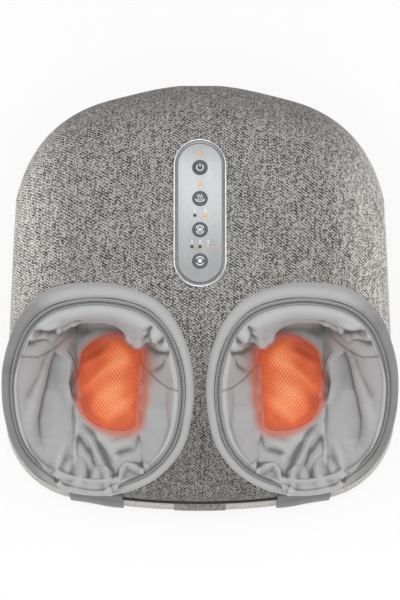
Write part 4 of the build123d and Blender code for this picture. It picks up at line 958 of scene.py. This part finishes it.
# Each fold: path in the picture, width on its left and right in pixels, and height in mm
FOLDS = (
    # roll under the zip with its scallops and puckers
    (((24, 338), (40, 322), (62, 313), (90, 310), (118, 312), (140, 321), (156, 334), (166, 350)), 9, 9, 5.0),
    (((60, 340), (66, 333), (76, 325), (84, 324)), 4, 5, -6.0),
    (((37, 331), (43, 335), (52, 336), (60, 331)), 3.5, 4, -9.0),
    (((26, 342), (34, 345), (46, 344), (58, 341)), 2.5, 4, -5.0),
    (((30, 322), (33, 331), (38, 338)), 2.5, 2.5, -4.0),
    (((40, 326), (50, 327), (58, 324)), 3.5, 3, 3.0),
    (((46, 340), (56, 340), (66, 335)), 3, 3, 3.0),
    (((145, 331), (151, 327), (148, 336), (144, 340)), 2, 2.5, -5.0),
    (((150, 339), (156, 341), (162, 341), (163, 336)), 2, 2.5, -5.0),
    (((146, 344), (156, 352), (166, 354), (170, 350)), 2, 3, -4.5),
    (((154, 333), (158, 338), (156, 344)), 2.5, 2.5, 3.0),
    (((126, 338), (134, 345), (144, 344)), 3, 4, 3.5),
    # pleats that fall from the seam on the left wall, and the loose strip beside the mesh
    (((66, 346), (60, 368), (53, 392), (46, 418), (44, 440)), 9, 7, -10.0),
    (((54, 350), (42, 376), (28, 400)), 9, 6, -5.0),
    (((50, 366), (36, 396), (30, 424)), 8, 8, 3.0),
    (((72, 352), (69, 366), (66, 384), (70, 400)), 4, 3.5, 5.0),
    (((77, 373), (73, 380), (72, 391), (75, 399)), 2.2, 2.6, -3.0),
    (((78, 376), (77, 388), (80, 396)), 2, 2, 3.0),
    # sharp lower edge of the left wall, with the dark pocket beside it
    (((76, 404), (76, 424), (76, 440), (74, 452)), 5, 1.8, 4.0),
    (((79, 436), (80, 446), (84, 454)), 2.5, 3.5, -9.0),
    (((66, 440), (60, 458), (57, 474), (57, 486)), 4, 6, 3.5),
    (((70, 452), (74, 464), (70, 478)), 6, 6, -3.5),
    # heel folds
    (((83, 432), (90, 440), (96, 452), (102, 464), (108, 474)), 3.2, 3.6, 8.0),
    (((91, 446), (90, 462), (88, 478)), 3.5, 3.5, -5.5),
    (((84, 462), (82, 474), (76, 484)), 5, 5, 3.5),
    (((99, 444), (106, 456), (113, 466)), 2.5, 4, -6.5),
    (((121, 461), (116, 470), (113, 480), (115, 490)), 1.7, 1.9, -10.0),
    (((119, 482), (121, 472), (127, 466), (136, 467), (146, 472)), 2.4, 3, 5.5),
    (((107, 474), (108, 484), (112, 494)), 3, 3, 3.5),
    (((138, 460), (143, 466), (150, 468), (157, 474)), 1.8, 2.8, -6.5),
    (((139, 434), (138, 448), (138, 460)), 1.8, 1.8, -5.0),
    (((118, 452), (126, 450), (137, 453)), 3, 4, -4.0),
    (((112, 448), (122, 446), (134, 440)), 4, 3, 3.0),
    (((124, 458), (132, 456), (138, 458)), 3, 4, -5.0),
    # right wall: edge beside the mesh, its seam and its soft hollows
    (((143, 368), (143, 390), (141, 415), (140, 440)), 2, 4, 3.5),
    (((164, 384), (161, 405), (163, 425), (158, 448)), 7, 7, -5.0),
    (((150, 376), (149, 398), (148, 424)), 5, 5, 2.0),
    (((163, 356), (160, 366), (152, 372)), 3, 4, -3.0),
)

MESH_FOLDS = (
    (((84, 366), (96, 358), (110, 352)), 4, 4, 2.4), (((80, 360), (92, 352), (106, 346)), 3, 3, -1.8),
    (((80, 392), (94, 377), (110, 366), (124, 360)), 4, 5, 2.6), (((84, 384), (98, 370)), 3, 3, -1.6),
    (((88, 412), (98, 398), (112, 388), (126, 384)), 6, 6, 2.2), (((104, 424), (118, 406), (134, 396)), 4, 4, 1.6),
    (((120, 420), (128, 412), (138, 404)), 3, 3, -1.8), (((84, 404), (92, 414), (104, 421)), 3, 3, -2.2),
    (((110, 340), (122, 350), (134, 370)), 5, 5, 1.6),
)


def in_picture(points):
    """Where points of the right liner's side fall in the picture, mirrored to the left opening."""
    ray = points - EYE
    depth = (ray @ LOOK)[:, None]
    return PICTURE_MIDDLE - PICTURE_SCALE * np.stack((ray[:, 0], ray @ RISE), axis=1) / depth


def from_picture(places, height):
    """Points of the right liner's side that fall on places in the picture, at given heights."""
    offset = (PICTURE_MIDDLE - np.asarray(places, dtype=float)) / PICTURE_SCALE
    ray = LOOK + offset[:, :1] * np.array((1.0, 0, 0)) + offset[:, 1:] * RISE
    return EYE + ray * ((height - EYE[2]) / ray[:, 2])[:, None]


def bearings(places):
    """Angle and distance of places about the opening's middle."""
    gap = np.asarray(places, dtype=float)[:, :2] - OPENING_MIDDLE
    return np.arctan2(gap[:, 1], gap[:, 0]), np.hypot(*gap.T)


def around_opening(table, angles, values=None):
    """A closed line, or a value given along it, read at angles about the opening's middle."""
    table = np.array(table, dtype=float)
    known, reach = bearings(table)
    return np.interp(angles, known, reach if values is None else table[:, values], period=2 * math.pi)


def path_distance(places, path):
    """Distance from each place to a path, how far along it the nearest point is, and on which side."""
    best = np.full(len(places), 1e9)
    share = np.zeros(len(places))
    side = np.zeros(len(places))
    path = np.asarray(path, dtype=float)
    for i, (start, end) in enumerate(zip(path[:-1], path[1:])):
        edge = end - start
        t = np.clip(((places - start) @ edge) / (edge @ edge), 0, 1)
        gap = places - (start + t[:, None] * edge)
        distance = np.hypot(*gap.T)
        nearer = distance < best
        best[nearer] = distance[nearer]
        share[nearer] = (i + t[nearer]) / (len(path) - 1)
        side[nearer] = np.sign(edge[0] * gap[nearer, 1] - edge[1] * gap[nearer, 0])
    return best, share, side


def fold_height(places, folds):
    """Height of the folds at places in the picture, in metres; creases are sharper than ridges."""
    height = np.zeros(len(places))
    for path, left, right, rise in folds:
        distance, share, side = path_distance(places, path)
        reach = distance / np.where(side > 0, right, left)
        bump = np.exp(-reach ** 2) if rise > 0 else np.exp(-reach ** 1.4)
        height += rise * MM * bump * (1 - 0.6 * (2 * share - 1) ** 4)
    return height


def seam_lines(places, seams, width=0.75):
    """1 on the seams, falling to 0 beside them."""
    line = np.zeros(len(places))
    for path in seams:
        line = np.maximum(line, np.exp(-((path_distance(places, path)[0] / width) ** 2)))
    return line


def glow_at(places):
    """How strongly the heater lights the cloth at places in the picture: 1 on the mesh, falling to 0."""
    angles, reach = bearings(places)
    past = np.maximum(0, reach - around_opening(MESH_EDGE, angles))
    return np.exp(-((past / around_opening(GLOW_SPREAD, angles, 2)) ** 2))


def sole_height(places):
    """Height of the sole's cloth at places in the picture: a low crown with folds."""
    angles, reach = bearings(places)
    share = np.clip(reach / around_opening(SOLE_EDGE, angles), 0, 1)
    return SOLE_Z + 3.6 * MM * (1 - share ** 3) + fold_height(places, MESH_FOLDS) * (1 - share ** 4)


def bezier(controls, share):
    """Points on cubic curves, one for each column, at one share of their length."""
    a, b, c, d = controls
    rest = 1 - share
    return rest ** 3 * a + 3 * rest * rest * share * b + 3 * rest * share * share * c + share ** 3 * d


def grid_facing(points):
    """Directions that the cloth faces, up from the sole and into the boot."""
    along = np.roll(points, -1, axis=1) - np.roll(points, 1, axis=1)
    facing = np.cross(along, np.gradient(points, axis=0))
    facing /= np.linalg.norm(facing, axis=2)[..., None] + 1e-12
    return facing * (1 if facing[-8].mean(axis=0)[2] > 0 else -1)


def cuff_level(points):
    """Height of the cuff's sloping top at each point."""
    return CUFF_CENTRE[2] + (points[..., 1] - CUFF_CENTRE[1]) * math.tan(CUFF_TILT)


def over_rim(points):
    """Where the heel's cloth lies on the cuff and its zip, from 0 to 1, at points of the boot."""
    outline, normals, _ = cuff_outline(len(points[0]))
    places = in_picture(points.reshape(-1, 3))
    angles, reach = bearings(places)
    lines = []
    for inset in (15.8, 3.0):
        turned, far = bearings(in_picture(cuff_place(outline, normals, inset * MM, -2.5 * MM)))
        order = np.argsort(turned)
        lines.append(np.interp(angles, turned[order], far[order], period=2 * math.pi))
    inner, outer = lines
    on = ramp(reach - inner, -2.5, 0.5) * (1 - ramp(reach - outer, -0.5, 1.5))
    on *= ramp(places[:, 0], 56, 64) * (1 - ramp(places[:, 0], 113, 119)) * ramp(places[:, 1], 450, 470)
    return on.reshape(points.shape[:2])


def spokes(angles, reach):
    """Places in the picture at a reach from the opening's middle, one at each angle."""
    return OPENING_MIDDLE + reach[:, None] * np.stack((np.cos(angles), np.sin(angles)), axis=1)


def inward(angles, reach, rows):
    """Rows of places from an outline round the opening's middle in to a small hole there."""
    return [spokes(angles, reach * (1 - i / (rows - 0.6))) for i in range(rows)]


def liner_columns(columns):
    """Mouth, crest, overhang, lip and sole edge of the boot for each column round the opening."""
    outline, normals, _ = cuff_outline(columns)
    spread = rim_spread(outline)
    rim = in_picture(cuff_place(outline, normals, 15 * MM, -2.5 * MM))
    angles, _ = bearings(rim)
    heel = ramp(rim[:, 0], 56, 66) * ramp(-rim[:, 0], -119, -113) * ramp(rim[:, 1], 440, 470)
    outer = ramp(-rim[:, 0], -60, -30) * ramp(rim[:, 1], 350, 385) * (1 - heel)
    heel, outer = evened(heel, 3), evened(outer, 12)
    inset = (14.6 * MM + spread) * (1 - heel) - 1.9 * MM * heel - 3.6 * MM * outer
    rise = -2.9 * MM * (1 - heel) - 8.5 * MM * heel
    mouth = cuff_place(outline, normals, inset, rise)
    crest_inset = (17 * MM + spread) * (1 - heel) + 4.0 * MM * heel - 3 * MM * outer
    crest = cuff_place(outline, normals, crest_inset, (0.6 + 9.5 * heel) * MM)

    def placed(table, height):
        return from_picture(spokes(angles, evened(around_opening(table, angles), 5)), height)

    drop = evened(around_opening(LIP, angles, 2), 6) * MM
    pocket = evened(around_opening(LIP, angles, 3), 8) * MM
    lip = placed(LIP, CUFF_CENTRE[2])
    # A place's height depends on where it falls on the sloping rim, and the other way round
    for _ in range(4):
        level = cuff_level(lip) - drop * (1 - heel) + 6.5 * MM * heel
        lip = placed(LIP, np.maximum(level, SOLE_Z + 1.5 * MM))
    sole = placed(SOLE_EDGE, np.full(columns, SOLE_Z))
    over = lip + (crest - mouth) * (0.5 * (1 - heel) + 0.9 * heel)[:, None]
    over[:, 2] += np.clip((mouth - lip)[:, 2], 2 * MM, 26 * MM) * 0.75 + 6 * MM * heel
    return mouth, crest, over, lip, sole, pocket, angles, heel


def liner_grid(columns=440, rows=(44, 84, 46)):
    """The right boot's cloth before its folds, row by row from the zip to the middle of the sole."""
    mouth, crest, over, lip, sole, pocket, angles, heel = liner_columns(columns)
    grid = [bezier((mouth, crest, over, lip), i / rows[0]) for i in range(rows[0])]
    slack = np.clip(pocket / (50 * MM), 0, 1)[:, None]
    back = pocket[:, None] * np.array((0, 1.33, 0))
    third = (sole - lip) / 3 * (1 - slack)
    sag = np.array((0, 0, -4.0 * MM)) * (1 - slack) * np.clip((lip - sole)[:, 2:] / (30 * MM), 0, 1)
    lift = np.array((0, 0, 4.5 * MM)) * heel[:, None]
    wall = (lip, lip + third + back + sag * 0.4 + lift, sole - third + back + sag, sole)
    grid += [bezier(wall, i / rows[1]) for i in range(rows[1])]
    _, reach = bearings(in_picture(sole))
    grid += [from_picture(places, sole_height(places)) for places in inward(angles, reach, rows[2])]
    hidden = np.zeros((len(grid), columns))
    tunnel = np.sin(np.linspace(0, math.pi, rows[1])) ** 0.4
    hidden[rows[0]: rows[0] + rows[1]] = tunnel[:, None] * slack[:, 0]
    return np.array(grid), hidden


def folded(points, hidden):
    """The boot's cloth with its folds, clear of the sole's floor and of the cuff that its heel lies on."""
    facing = grid_facing(points)
    height = 1.3 * fold_height(in_picture(points.reshape(-1, 3)), FOLDS).reshape(points.shape[:2])
    fade = np.clip(np.arange(len(points)) / 7.0, 0, 1)[:, None]
    moved = points + facing * (height * fade * (1 - hidden))[..., None]
    moved[..., 2] = np.maximum(moved[..., 2], 60.6 * MM)
    short = np.clip(cuff_level(moved) + 2.2 * MM - moved[..., 2], 0, None)
    moved[..., 2] += short * over_rim(moved)
    return blurred(moved, 2, keep=1)


def make_liner(side, sign):
    """The sewn boot with its roll, pleats and seams."""
    points, hidden = liner_grid()
    points = folded(blurred(points, 3, keep=1), hidden)
    rows, columns = points.shape[:2]
    depth = np.sum((blurred(points, 14, keep=1) - points) * grid_facing(points), axis=2)
    flat = points.reshape(-1, 3)
    places = in_picture(flat)
    shown = 1 - hidden.ravel()
    faces = capped_faces(points, sign, -columns)
    piece = new_piece(f"{side}_sewn_liner", mirrored(flat, sign), faces, LOOKS["liner"])
    uv = np.meshgrid(np.linspace(0, 0.55, columns), np.linspace(0, 0.4, rows))
    put_uv(piece, np.stack(uv, axis=-1).reshape(-1, 2))
    # Painted shade in the creases: darker where the cloth lies deeper than its smoothed form
    paint(piece, "fold_shade", np.clip(0.84 - depth.ravel() / (1.3 * MM), 0, 1))
    # Painted glow light on the liner: stronger low down near the mesh, weaker in the hidden toe pocket and in the
    # painted shadow under the roll
    low = np.clip(1 - (flat[:, 2] - 0.062) / 0.075, 0, 1)
    top = 0.45 + 0.55 * ramp(places[:, 1], 330, 350)
    paint(piece, "painted_glow", glow_at(places) * (0.25 + 0.75 * low) * (0.4 + 0.6 * shown) * top)
    paint(piece, "seam", seam_lines(places, LINER_SEAMS) * shown)
    settle(piece, HOUSING, "liner_cloth", f"{side}_liner")


def make_glow(side, sign, columns=300, rows=90):
    """The mesh on the sole, lit from below, in shallow folds."""
    angles = np.linspace(-math.pi, math.pi, columns, endpoint=False)
    places = np.concatenate(inward(angles, evened(around_opening(MESH_EDGE, angles), 3), rows))
    row = np.repeat(np.arange(rows), columns)
    lift = np.clip(row / 4.0, 0, 1) * 1.3 * MM - 0.5 * MM
    flat = from_picture(places, sole_height(places) + lift)
    faces = capped_faces(flat.reshape(rows, columns, 3), sign, 0)
    piece = new_piece(f"{side}_glowing_mesh", mirrored(flat, sign), faces, LOOKS["glow"])
    put_uv(piece, flat[:, :2])
    # Painted glow light on the mesh, with its painted pools of light and shade
    heat = np.full(len(flat), 0.35)
    for u, v, radius, strength in HOT_SPOTS:
        heat += strength * np.exp(-(((places[:, 0] - u) ** 2 + (places[:, 1] - v) ** 2) / radius ** 2))
    # Painted shadow under the roll at the toe end, and a dimmer glow at the mesh's edge
    top, rim = ramp(places[:, 1], 328, 346), ramp(row / rows, 0.0, 0.30)
    paint(piece, "painted_glow", np.clip(heat, 0, 1.2) * (0.35 + 0.65 * top) * (0.60 + 0.40 * rim))
    paint(piece, "roll_shadow", (1 - top) * 0.45)
    # Painted shade and light of the mesh's folds: its glow dimmer in the hollows and brighter on the ridges
    paint(piece, "fold_shade", np.clip(0.5 + fold_height(places, MESH_FOLDS) / (4 * MM), 0, 1))
    paint(piece, "seam", seam_lines(places, MESH_SEAMS))
    return settle(piece, HOUSING, "mesh_cloth", f"{side}_mesh_panel")


# Control panel
BUTTON_PITCH = 30.1
FIRST_BUTTON_Y = 43.6
LAMP_RISE = 13.8 * MM
BUTTON_PLACES = [(name, (FIRST_BUTTON_Y - BUTTON_PITCH * i) * MM) for i, name in enumerate(BUTTONS)]
LAMP_ROWS = [y + LAMP_RISE for _, y in BUTTON_PLACES]

# Across each row, in mm: its lamps, and the numbers over the rows that have them
LAMPS = ((0.0,), (0.0,), (-4.9, 4.9), (-7.6, 0.0, 7.6))
NUMBERED = (2, 3)


def arc(radius, start, end, count=24, x=0.0, y=0.0):
    """Points on an arc, with angles in degrees."""
    angles = [math.radians(start + (end - start) * i / count) for i in range(count + 1)]
    return [(x + radius * math.cos(angle), y + radius * math.sin(angle)) for angle in angles]


def ring_of(radius, x=0.0, y=0.0, count=48):
    """A circle's points."""
    return arc(radius, 0, 360, count, x, y)[:-1]


def pill(settings, inset, count=28):
    """The panel's pill outline, drawn in by an inset in mm."""
    half_width, half_length = settings.width / 2 - inset * MM, settings.length / 2 - inset * MM
    straight = half_length - half_width
    return arc(half_width, 0, 180, count, y=straight) + arc(half_width, 180, 360, count, y=-straight)


def laid_on_deck(thing, shift, finish):
    """A flat curve or text as a plain mesh, moved by a shift and laid on the deck."""
    piece = plain(thing)
    mesh = piece.data
    points = np.empty(len(mesh.vertices) * 3)
    mesh.vertices.foreach_get("co", points)
    mesh.vertices.foreach_set("co", deck_place(points.reshape(-1, 3) + shift).ravel())
    mesh.materials.clear()
    mesh.materials.append(finish.material)
    mesh.update()
    return piece


def make_bezel(settings):
    """The bright rim round the panel, and the satin slope inside it."""
    for name, look, section, nodes in (
        ("panel_rim", "chrome",
         ((0.3, -1.2), (0.0, 0.2), (0.0, 1.5), (0.2, 2.2), (0.6, 2.6), (1.05, 2.55), (1.3, 2.2), (1.4, 1.6)),
         ("panel_bezel",)),
        ("panel_slope", "slope",
         ((1.25, 2.0), (1.5, 2.25), (2.4, 2.1), (3.4, 1.95), (4.1, 1.8), (4.35, 1.5), (4.4, 0.9)), ()),
    ):
        rings = [deck_place([(x, y, height * MM) for x, y in pill(settings, inset)]) for inset, height in section]
        swept_ring(name, rings, look, "bezel_chrome", nodes)


def make_plate(settings):
    """The brushed plate with round holes for buttons and lamps."""
    bottom, top, edge = 0.3 * MM, 1.7 * MM, 0.12 * MM
    loops = [pill(settings, 4.5)] + [ring_of(7.3 * MM, y=y) for _, y in BUTTON_PLACES]
    loops += [ring_of(1.5 * MM, x * MM, y, 24) for y, row in zip(LAMP_ROWS, LAMPS) for x in row]
    sheet = new_curve("brushed_plate", [[(x, y, 0.0) for x, y in loop] for loop in loops], "2D")
    sheet.data.fill_mode = "BOTH"
    sheet.data.extrude = (top - bottom) / 2 - edge
    sheet.data.bevel_depth = edge
    sheet.data.bevel_resolution = 3
    sheet.data.offset = -edge
    plate = laid_on_deck(sheet, (0.0, 0.0, (bottom + top) / 2), LOOKS["plate"])
    return settle(plate, HOUSING, "plate_metal", "panel_plate")


def stroke(points, width):
    """The two edges of a flat ribbon along a line."""
    step = np.gradient(points, axis=0)
    across = np.stack((-step[:, 1], step[:, 0]), axis=1)
    across /= np.linalg.norm(across, axis=1)[:, None]
    return points + across * width / 2, points - across * width / 2


def button_icon(name):
    """Lines of each button's sign and their widths, in mm about the button's middle."""
    if name == "power":
        return [(arc(3.1, 125, 415), 0.85), ([(0, 0.6), (0, 2.2), (0, 3.9)], 0.85)]
    if name == "heat":
        waves = [
            ([(x + 0.45 * math.sin(2 * math.pi * t / 10), 0.1 + 3.6 * t / 10) for t in range(11)], 0.55)
            for x in (-1.9, 0.0, 1.9)
        ]
        dish = [(4.3 * math.cos(a), -0.9 + 2.1 * math.sin(a)) for a in np.linspace(math.pi, 2 * math.pi, 20)]
        return waves + [(dish, 0.75), ([(-4.3, -0.9), (0, -0.9), (4.3, -0.9)], 0.45)]
    if name == "intensity":
        turns = [(arc(4.0, 20, 160), 0.8), (arc(4.0, 200, 340), 0.8), (arc(2.4, 100, 260), 0.7)]
        return turns + [(arc(2.4, -80, 80), 0.7), (arc(0.7, 0, 360), 1.2)]
    return [(arc(1.0, 0, 360), 1.9), (arc(3.9, 25, 150), 0.85), (arc(3.9, 205, 330), 0.85)]


def make_sign(name, y, top):
    """The pale sign on a button."""
    points, faces = [], []
    for line, width in button_icon(name):
        left, right = stroke(np.array(line, dtype=float) * MM, width * MM)
        base = len(points)
        for (lx, ly), (rx, ry) in zip(left, right):
            points += [(lx, ly + y, top), (rx, ry + y, top)]
        faces += [(base + 2 * i, base + 2 * i + 1, base + 2 * i + 3, base + 2 * i + 2) for i in range(len(left) - 1)]
    return thicken(new_piece(f"{name}_sign", deck_place(points), faces, LOOKS["print"]), 0.12 * MM, 0)


def make_button(name, y):
    """A button's cap with a dished face and its flange, turned from a section in mm, and its sign."""
    section = (
        (7.9, -0.9), (7.9, 0.1), (7.0, 0.15), (7.0, 2.35), (6.9, 2.65), (6.6, 2.85), (6.1, 2.9), (5.2, 2.82),
        (3.0, 2.74), (0.6, 2.72),
    )
    count = 56
    points = [(px, py, h * MM) for radius, h in section for px, py in ring_of(radius * MM, y=y, count=count)]
    faces = [tuple(face) for face in grid_faces(len(section), count)]
    faces += [tuple(range(len(points) - count, len(points))), tuple(reversed(range(count)))]
    cap = new_piece(f"{name}_cap", deck_place(points), faces, LOOKS["button"])
    settle(cap, f"{name}_button", "button_plastic", f"{name}_button")
    settle(make_sign(name, y, 2.86 * MM), f"{name}_button", "button_plastic")


def make_numbers():
    """Plain level numbers above the lamps."""
    marks = [(x, LAMP_ROWS[row], str(level + 1)) for row in NUMBERED for level, x in enumerate(LAMPS[row])]
    for i, (x, y, digit) in enumerate(marks):
        font = bpy.data.curves.new(f"level_{i}", "FONT")
        font.body = digit
        font.size = 4.6 * MM
        font.align_x = "CENTER"
        font.extrude = 0.05 * MM
        holder = added(f"level_number_{i + 1}", font)
        settle(laid_on_deck(holder, (x * MM, y + 3.0 * MM, 1.76 * MM), LOOKS["print"]), HOUSING, "plate_metal")


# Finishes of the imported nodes
def dress_nodes():
    """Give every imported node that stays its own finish."""
    slots = {item["node"]: item["material_slot"] for item in frame["record"]["subparts"]}
    for node, thing in frame["nodes"].items():
        finish = NODE_LOOKS.get(slots.get(node))
        if finish is not None:
            thing.data.materials.clear()
            thing.data.materials.append(finish.material)


LOOKS = {}
NODE_LOOKS = {}

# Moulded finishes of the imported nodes, by slot: colour, roughness, grain, depth of grain in mm and metallic
NODE_MOULDED = {
    "base_plastic": ((0.045, 0.045, 0.047), 0.6, 1500, 0.08),
    "foot_rubber": ((0.025, 0.025, 0.025), 0.85, 1200, 0.1),
    "screw_steel": ((0.45, 0.45, 0.45), 0.35, 900, 0.02, 1.0),
    "shell_plastic": ((0.05, 0.05, 0.052), 0.6),
    "socket_plastic": ((0.03, 0.03, 0.03), 0.45),
    "board": ((0.02, 0.16, 0.06), 0.4, 700, 0.03),
    "pump_plastic": ((0.10, 0.10, 0.11), 0.5),
    "hose_rubber": ((0.40, 0.40, 0.40), 0.6),
    "heater_film": ((0.45, 0.12, 0.03), 0.4),
    "airbag_film": ((0.16, 0.165, 0.175), 0.5, 400, 0.2),
    "inner_plastic": ((0.08, 0.08, 0.08), 0.55),
    "drive_steel": ((0.50, 0.50, 0.50), 0.3, 900, 0.02, 1.0),
    "motor_steel": ((0.55, 0.55, 0.56), 0.35, 900, 0.02, 1.0),
    "gear_plastic": ((0.72, 0.70, 0.62), 0.45),
    "kneading_head": ((0.30, 0.05, 0.03), 0.7, 900, 0.08),
}


def make_finishes(cover, cuff, panel):
    """All the object's finishes."""
    LOOKS.update({
        "linen": linen("linen_weave", cover.dark, cover.pale, cover.weave),
        "band": linen("band_weave", tinted(cover.band, 0.66), cover.band, cover.weave * 0.7),
        "patch": linen("patch_weave", cover.dark, cover.pale, cover.weave * 0.62),
        "welt": smooth_cloth("welt_cloth", (0.05, 0.047, 0.045)),
        "flap": smooth_cloth("flap_cloth", (0.165, 0.165, 0.167)),
        "cuff": smooth_cloth("cuff_cloth", tinted(cuff.cloth, 0.92), 0.42),
        "liner": heated_cloth("liner_cloth", cuff.cloth, cuff.glow),
        "glow": glowing_mesh("heated_mesh", cuff.cloth, cuff.glow, cuff.hot, cuff.dull),
        "zip": zip_cloth("zip_tape", cuff.zip_tape),
        "zip_teeth": moulded("zip_teeth", (0.055, 0.054, 0.054), 0.35, 900, 0.02),
        "thread": moulded("stitch_thread", (0.30, 0.30, 0.30), 0.8, 3000, 0.02),
        "chrome": satin_metal("bright_rim", (0.66, 0.665, 0.67), 0.16, (90, 90, 90), 0.01),
        "slope": satin_metal("satin_slope", (0.17, 0.17, 0.175), 0.4, (300, 300, 300), 0.02),
        "plate": satin_metal("brushed_plate", panel.plate, 0.36, reflection_band=True),
        "button": moulded("button_satin", (0.060, 0.062, 0.066), 0.38, 2400, 0.02, coat=0.1),
        "print": moulded("white_print", (0.86, 0.86, 0.86), 0.5, 2400, 0.01),
    })
    NODE_LOOKS.update({slot: moulded(slot, *numbers) for slot, numbers in NODE_MOULDED.items()})
    NODE_LOOKS["lens_lit"] = lamp("lamp_lit", panel.lamp, 1.0)
    NODE_LOOKS["lens_dark"] = lamp("lamp_dark", (0.012, 0.012, 0.012), 0.0)


# Operators
class MASSAGER_OT_body(bpy.types.Operator):
    """Make the linen cover, the strip round the base and its seam"""

    bl_idname = "massager.body"
    bl_label = "Cloth Body"

    def execute(self, context):
        make_cover(context.scene.massager_cover)
        make_band()
        make_welt()
        make_front_tab()
        for side, sign in SIDES:
            make_heel_flap(side, sign)
        return {"FINISHED"}


class MASSAGER_OT_cuffs(bpy.types.Operator):
    """Make the padded cuffs and their zips"""

    bl_idname = "massager.cuffs"
    bl_label = "Cuffs and Zips"

    def execute(self, context):
        settings = context.scene.massager_cuff
        for side, sign in SIDES:
            make_collar(side, sign)
            make_zip_tape(side, sign)
            make_cuff_sewing(side, sign, settings)
        return {"FINISHED"}


class MASSAGER_OT_liners(bpy.types.Operator):
    """Make the sewn foot liners and the heated mesh on their soles"""

    bl_idname = "massager.liners"
    bl_label = "Foot Liners"

    def execute(self, context):
        for side, sign in SIDES:
            make_liner(side, sign)
            make_glow(side, sign)
        return {"FINISHED"}


class MASSAGER_OT_panel(bpy.types.Operator):
    """Make the control panel with its rim, plate, buttons and numbers"""

    bl_idname = "massager.panel"
    bl_label = "Control Panel"

    def execute(self, context):
        settings = context.scene.massager_panel
        make_bezel(settings)
        make_plate(settings)
        for name, y in BUTTON_PLACES:
            make_button(name, y)
        make_numbers()
        return {"FINISHED"}


class MASSAGER_OT_finishes(bpy.types.Operator):
    """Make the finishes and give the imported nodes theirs"""

    bl_idname = "massager.finishes"
    bl_label = "Finishes"

    def execute(self, context):
        scene = context.scene
        make_finishes(scene.massager_cover, scene.massager_cuff, scene.massager_panel)
        dress_nodes()
        return {"FINISHED"}


class MASSAGER_OT_stage(bpy.types.Operator):
    """Make the floor, the lamps, the world and the camera"""

    bl_idname = "massager.stage"
    bl_label = "Stage"

    def execute(self, context):
        make_floor()
        make_lamps()
        make_world()
        make_camera()
        return {"FINISHED"}


# Stage
WHITE = (1, 1, 1)


def seen_rays(wiring):
    """1 for rays that show the background: from the camera, in gloss and through glass."""
    camera = wiring.node("LightPath", output="Is Camera Ray")
    return camera.maths("MAXIMUM", camera.at("Is Glossy Ray")).maths("MAXIMUM", camera.at("Is Transmission Ray"))


def make_floor():
    """A pale floor that shows white behind the object and keeps its shadow."""
    far = 6.0
    finish = Finish("floor_white", roughness=0.9, Specular_IOR_Level=0.0, Base_Color=(0.86, 0.86, 0.86))
    glow = finish.node("Emission", {"Color": WHITE})
    shown = finish.node("MixShader", (seen_rays(finish) * 0.8, finish.shader, glow))
    finish.feed(finish.output.inputs["Surface"], shown)
    corners = [(-far, -far, 0), (far, -far, 0), (far, far, 0), (-far, far, 0)]
    new_piece("floor", corners, [(0, 1, 2, 3)], finish)


def make_lamps():
    """Three broad soft lamps: one above the front and one at each side."""
    middle = Vector((0, 0, 0.08))
    for name, place, size, energy in (
        ("front", (0.0, -0.75, 1.8), 1.0, 16.0), ("left", (-1.2, 0.1, 1.0), 0.8, 5.0),
        ("right", (1.2, 0.1, 1.0), 0.8, 5.0),
    ):
        light = bpy.data.lights.new(name, "AREA")
        light.size = size
        light.energy = energy
        holder = added(name, light)
        holder.location = place
        holder.rotation_euler = (middle - Vector(place)).to_track_quat("-Z", "Y").to_euler()


def make_world():
    """Even white surroundings, dimmer to the object than to the rays that show them."""
    world = bpy.data.worlds.new("surroundings")
    bpy.context.scene.world = world
    wiring = Wiring(world)
    lit, seen = (wiring.node("Background", {"Color": WHITE, "Strength": strength}) for strength in (0.55, 1.0))
    wiring.node("OutputWorld", {"Surface": wiring.node("MixShader", (seen_rays(wiring), lit, seen))})


def make_camera():
    """The camera at the photograph's height and distance."""
    data = bpy.data.cameras.new("view")
    data.lens = 90.0
    data.sensor_width = 36.0
    camera = added("view", data)
    camera.location = EYE
    camera.rotation_euler = (math.pi / 2 - CAMERA_RISE, 0, 0)
    bpy.context.scene.camera = camera
    bpy.context.scene.view_settings.view_transform = "Standard"


class MASSAGER_PT_sidebar(bpy.types.Panel):
    """Sizes, colours and buttons of the foot massager"""

    bl_label = "Foot Massager"
    bl_idname = "MASSAGER_PT_sidebar"
    bl_space_type = "VIEW_3D"
    bl_region_type = "UI"
    bl_category = "Massager"

    def draw(self, context):
        layout = self.layout
        for group in ("massager_cover", "massager_cuff", "massager_panel"):
            box = layout.box()
            settings = getattr(context.scene, group)
            for name in settings.__annotations__:
                box.prop(settings, name)
        for operator in STEPS:
            layout.operator(operator.bl_idname)


STEPS = (
    MASSAGER_OT_finishes, MASSAGER_OT_body, MASSAGER_OT_cuffs, MASSAGER_OT_liners, MASSAGER_OT_panel,
    MASSAGER_OT_stage,
)
CLASSES = (MassagerCover, MassagerCuff, MassagerPanel) + STEPS + (MASSAGER_PT_sidebar,)


def register():
    for item in CLASSES:
        bpy.utils.register_class(item)
    bpy.types.Scene.massager_cover = bpy.props.PointerProperty(type=MassagerCover)
    bpy.types.Scene.massager_cuff = bpy.props.PointerProperty(type=MassagerCuff)
    bpy.types.Scene.massager_panel = bpy.props.PointerProperty(type=MassagerPanel)


def unregister():
    del bpy.types.Scene.massager_panel
    del bpy.types.Scene.massager_cuff
    del bpy.types.Scene.massager_cover
    for item in reversed(CLASSES):
        bpy.utils.unregister_class(item)


def main():
    """Register the add-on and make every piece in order."""
    register()
    for operator in STEPS:
        group, name = operator.bl_idname.split(".")
        getattr(getattr(bpy.ops, group), name)()


if __name__ == "__main__":
    main()
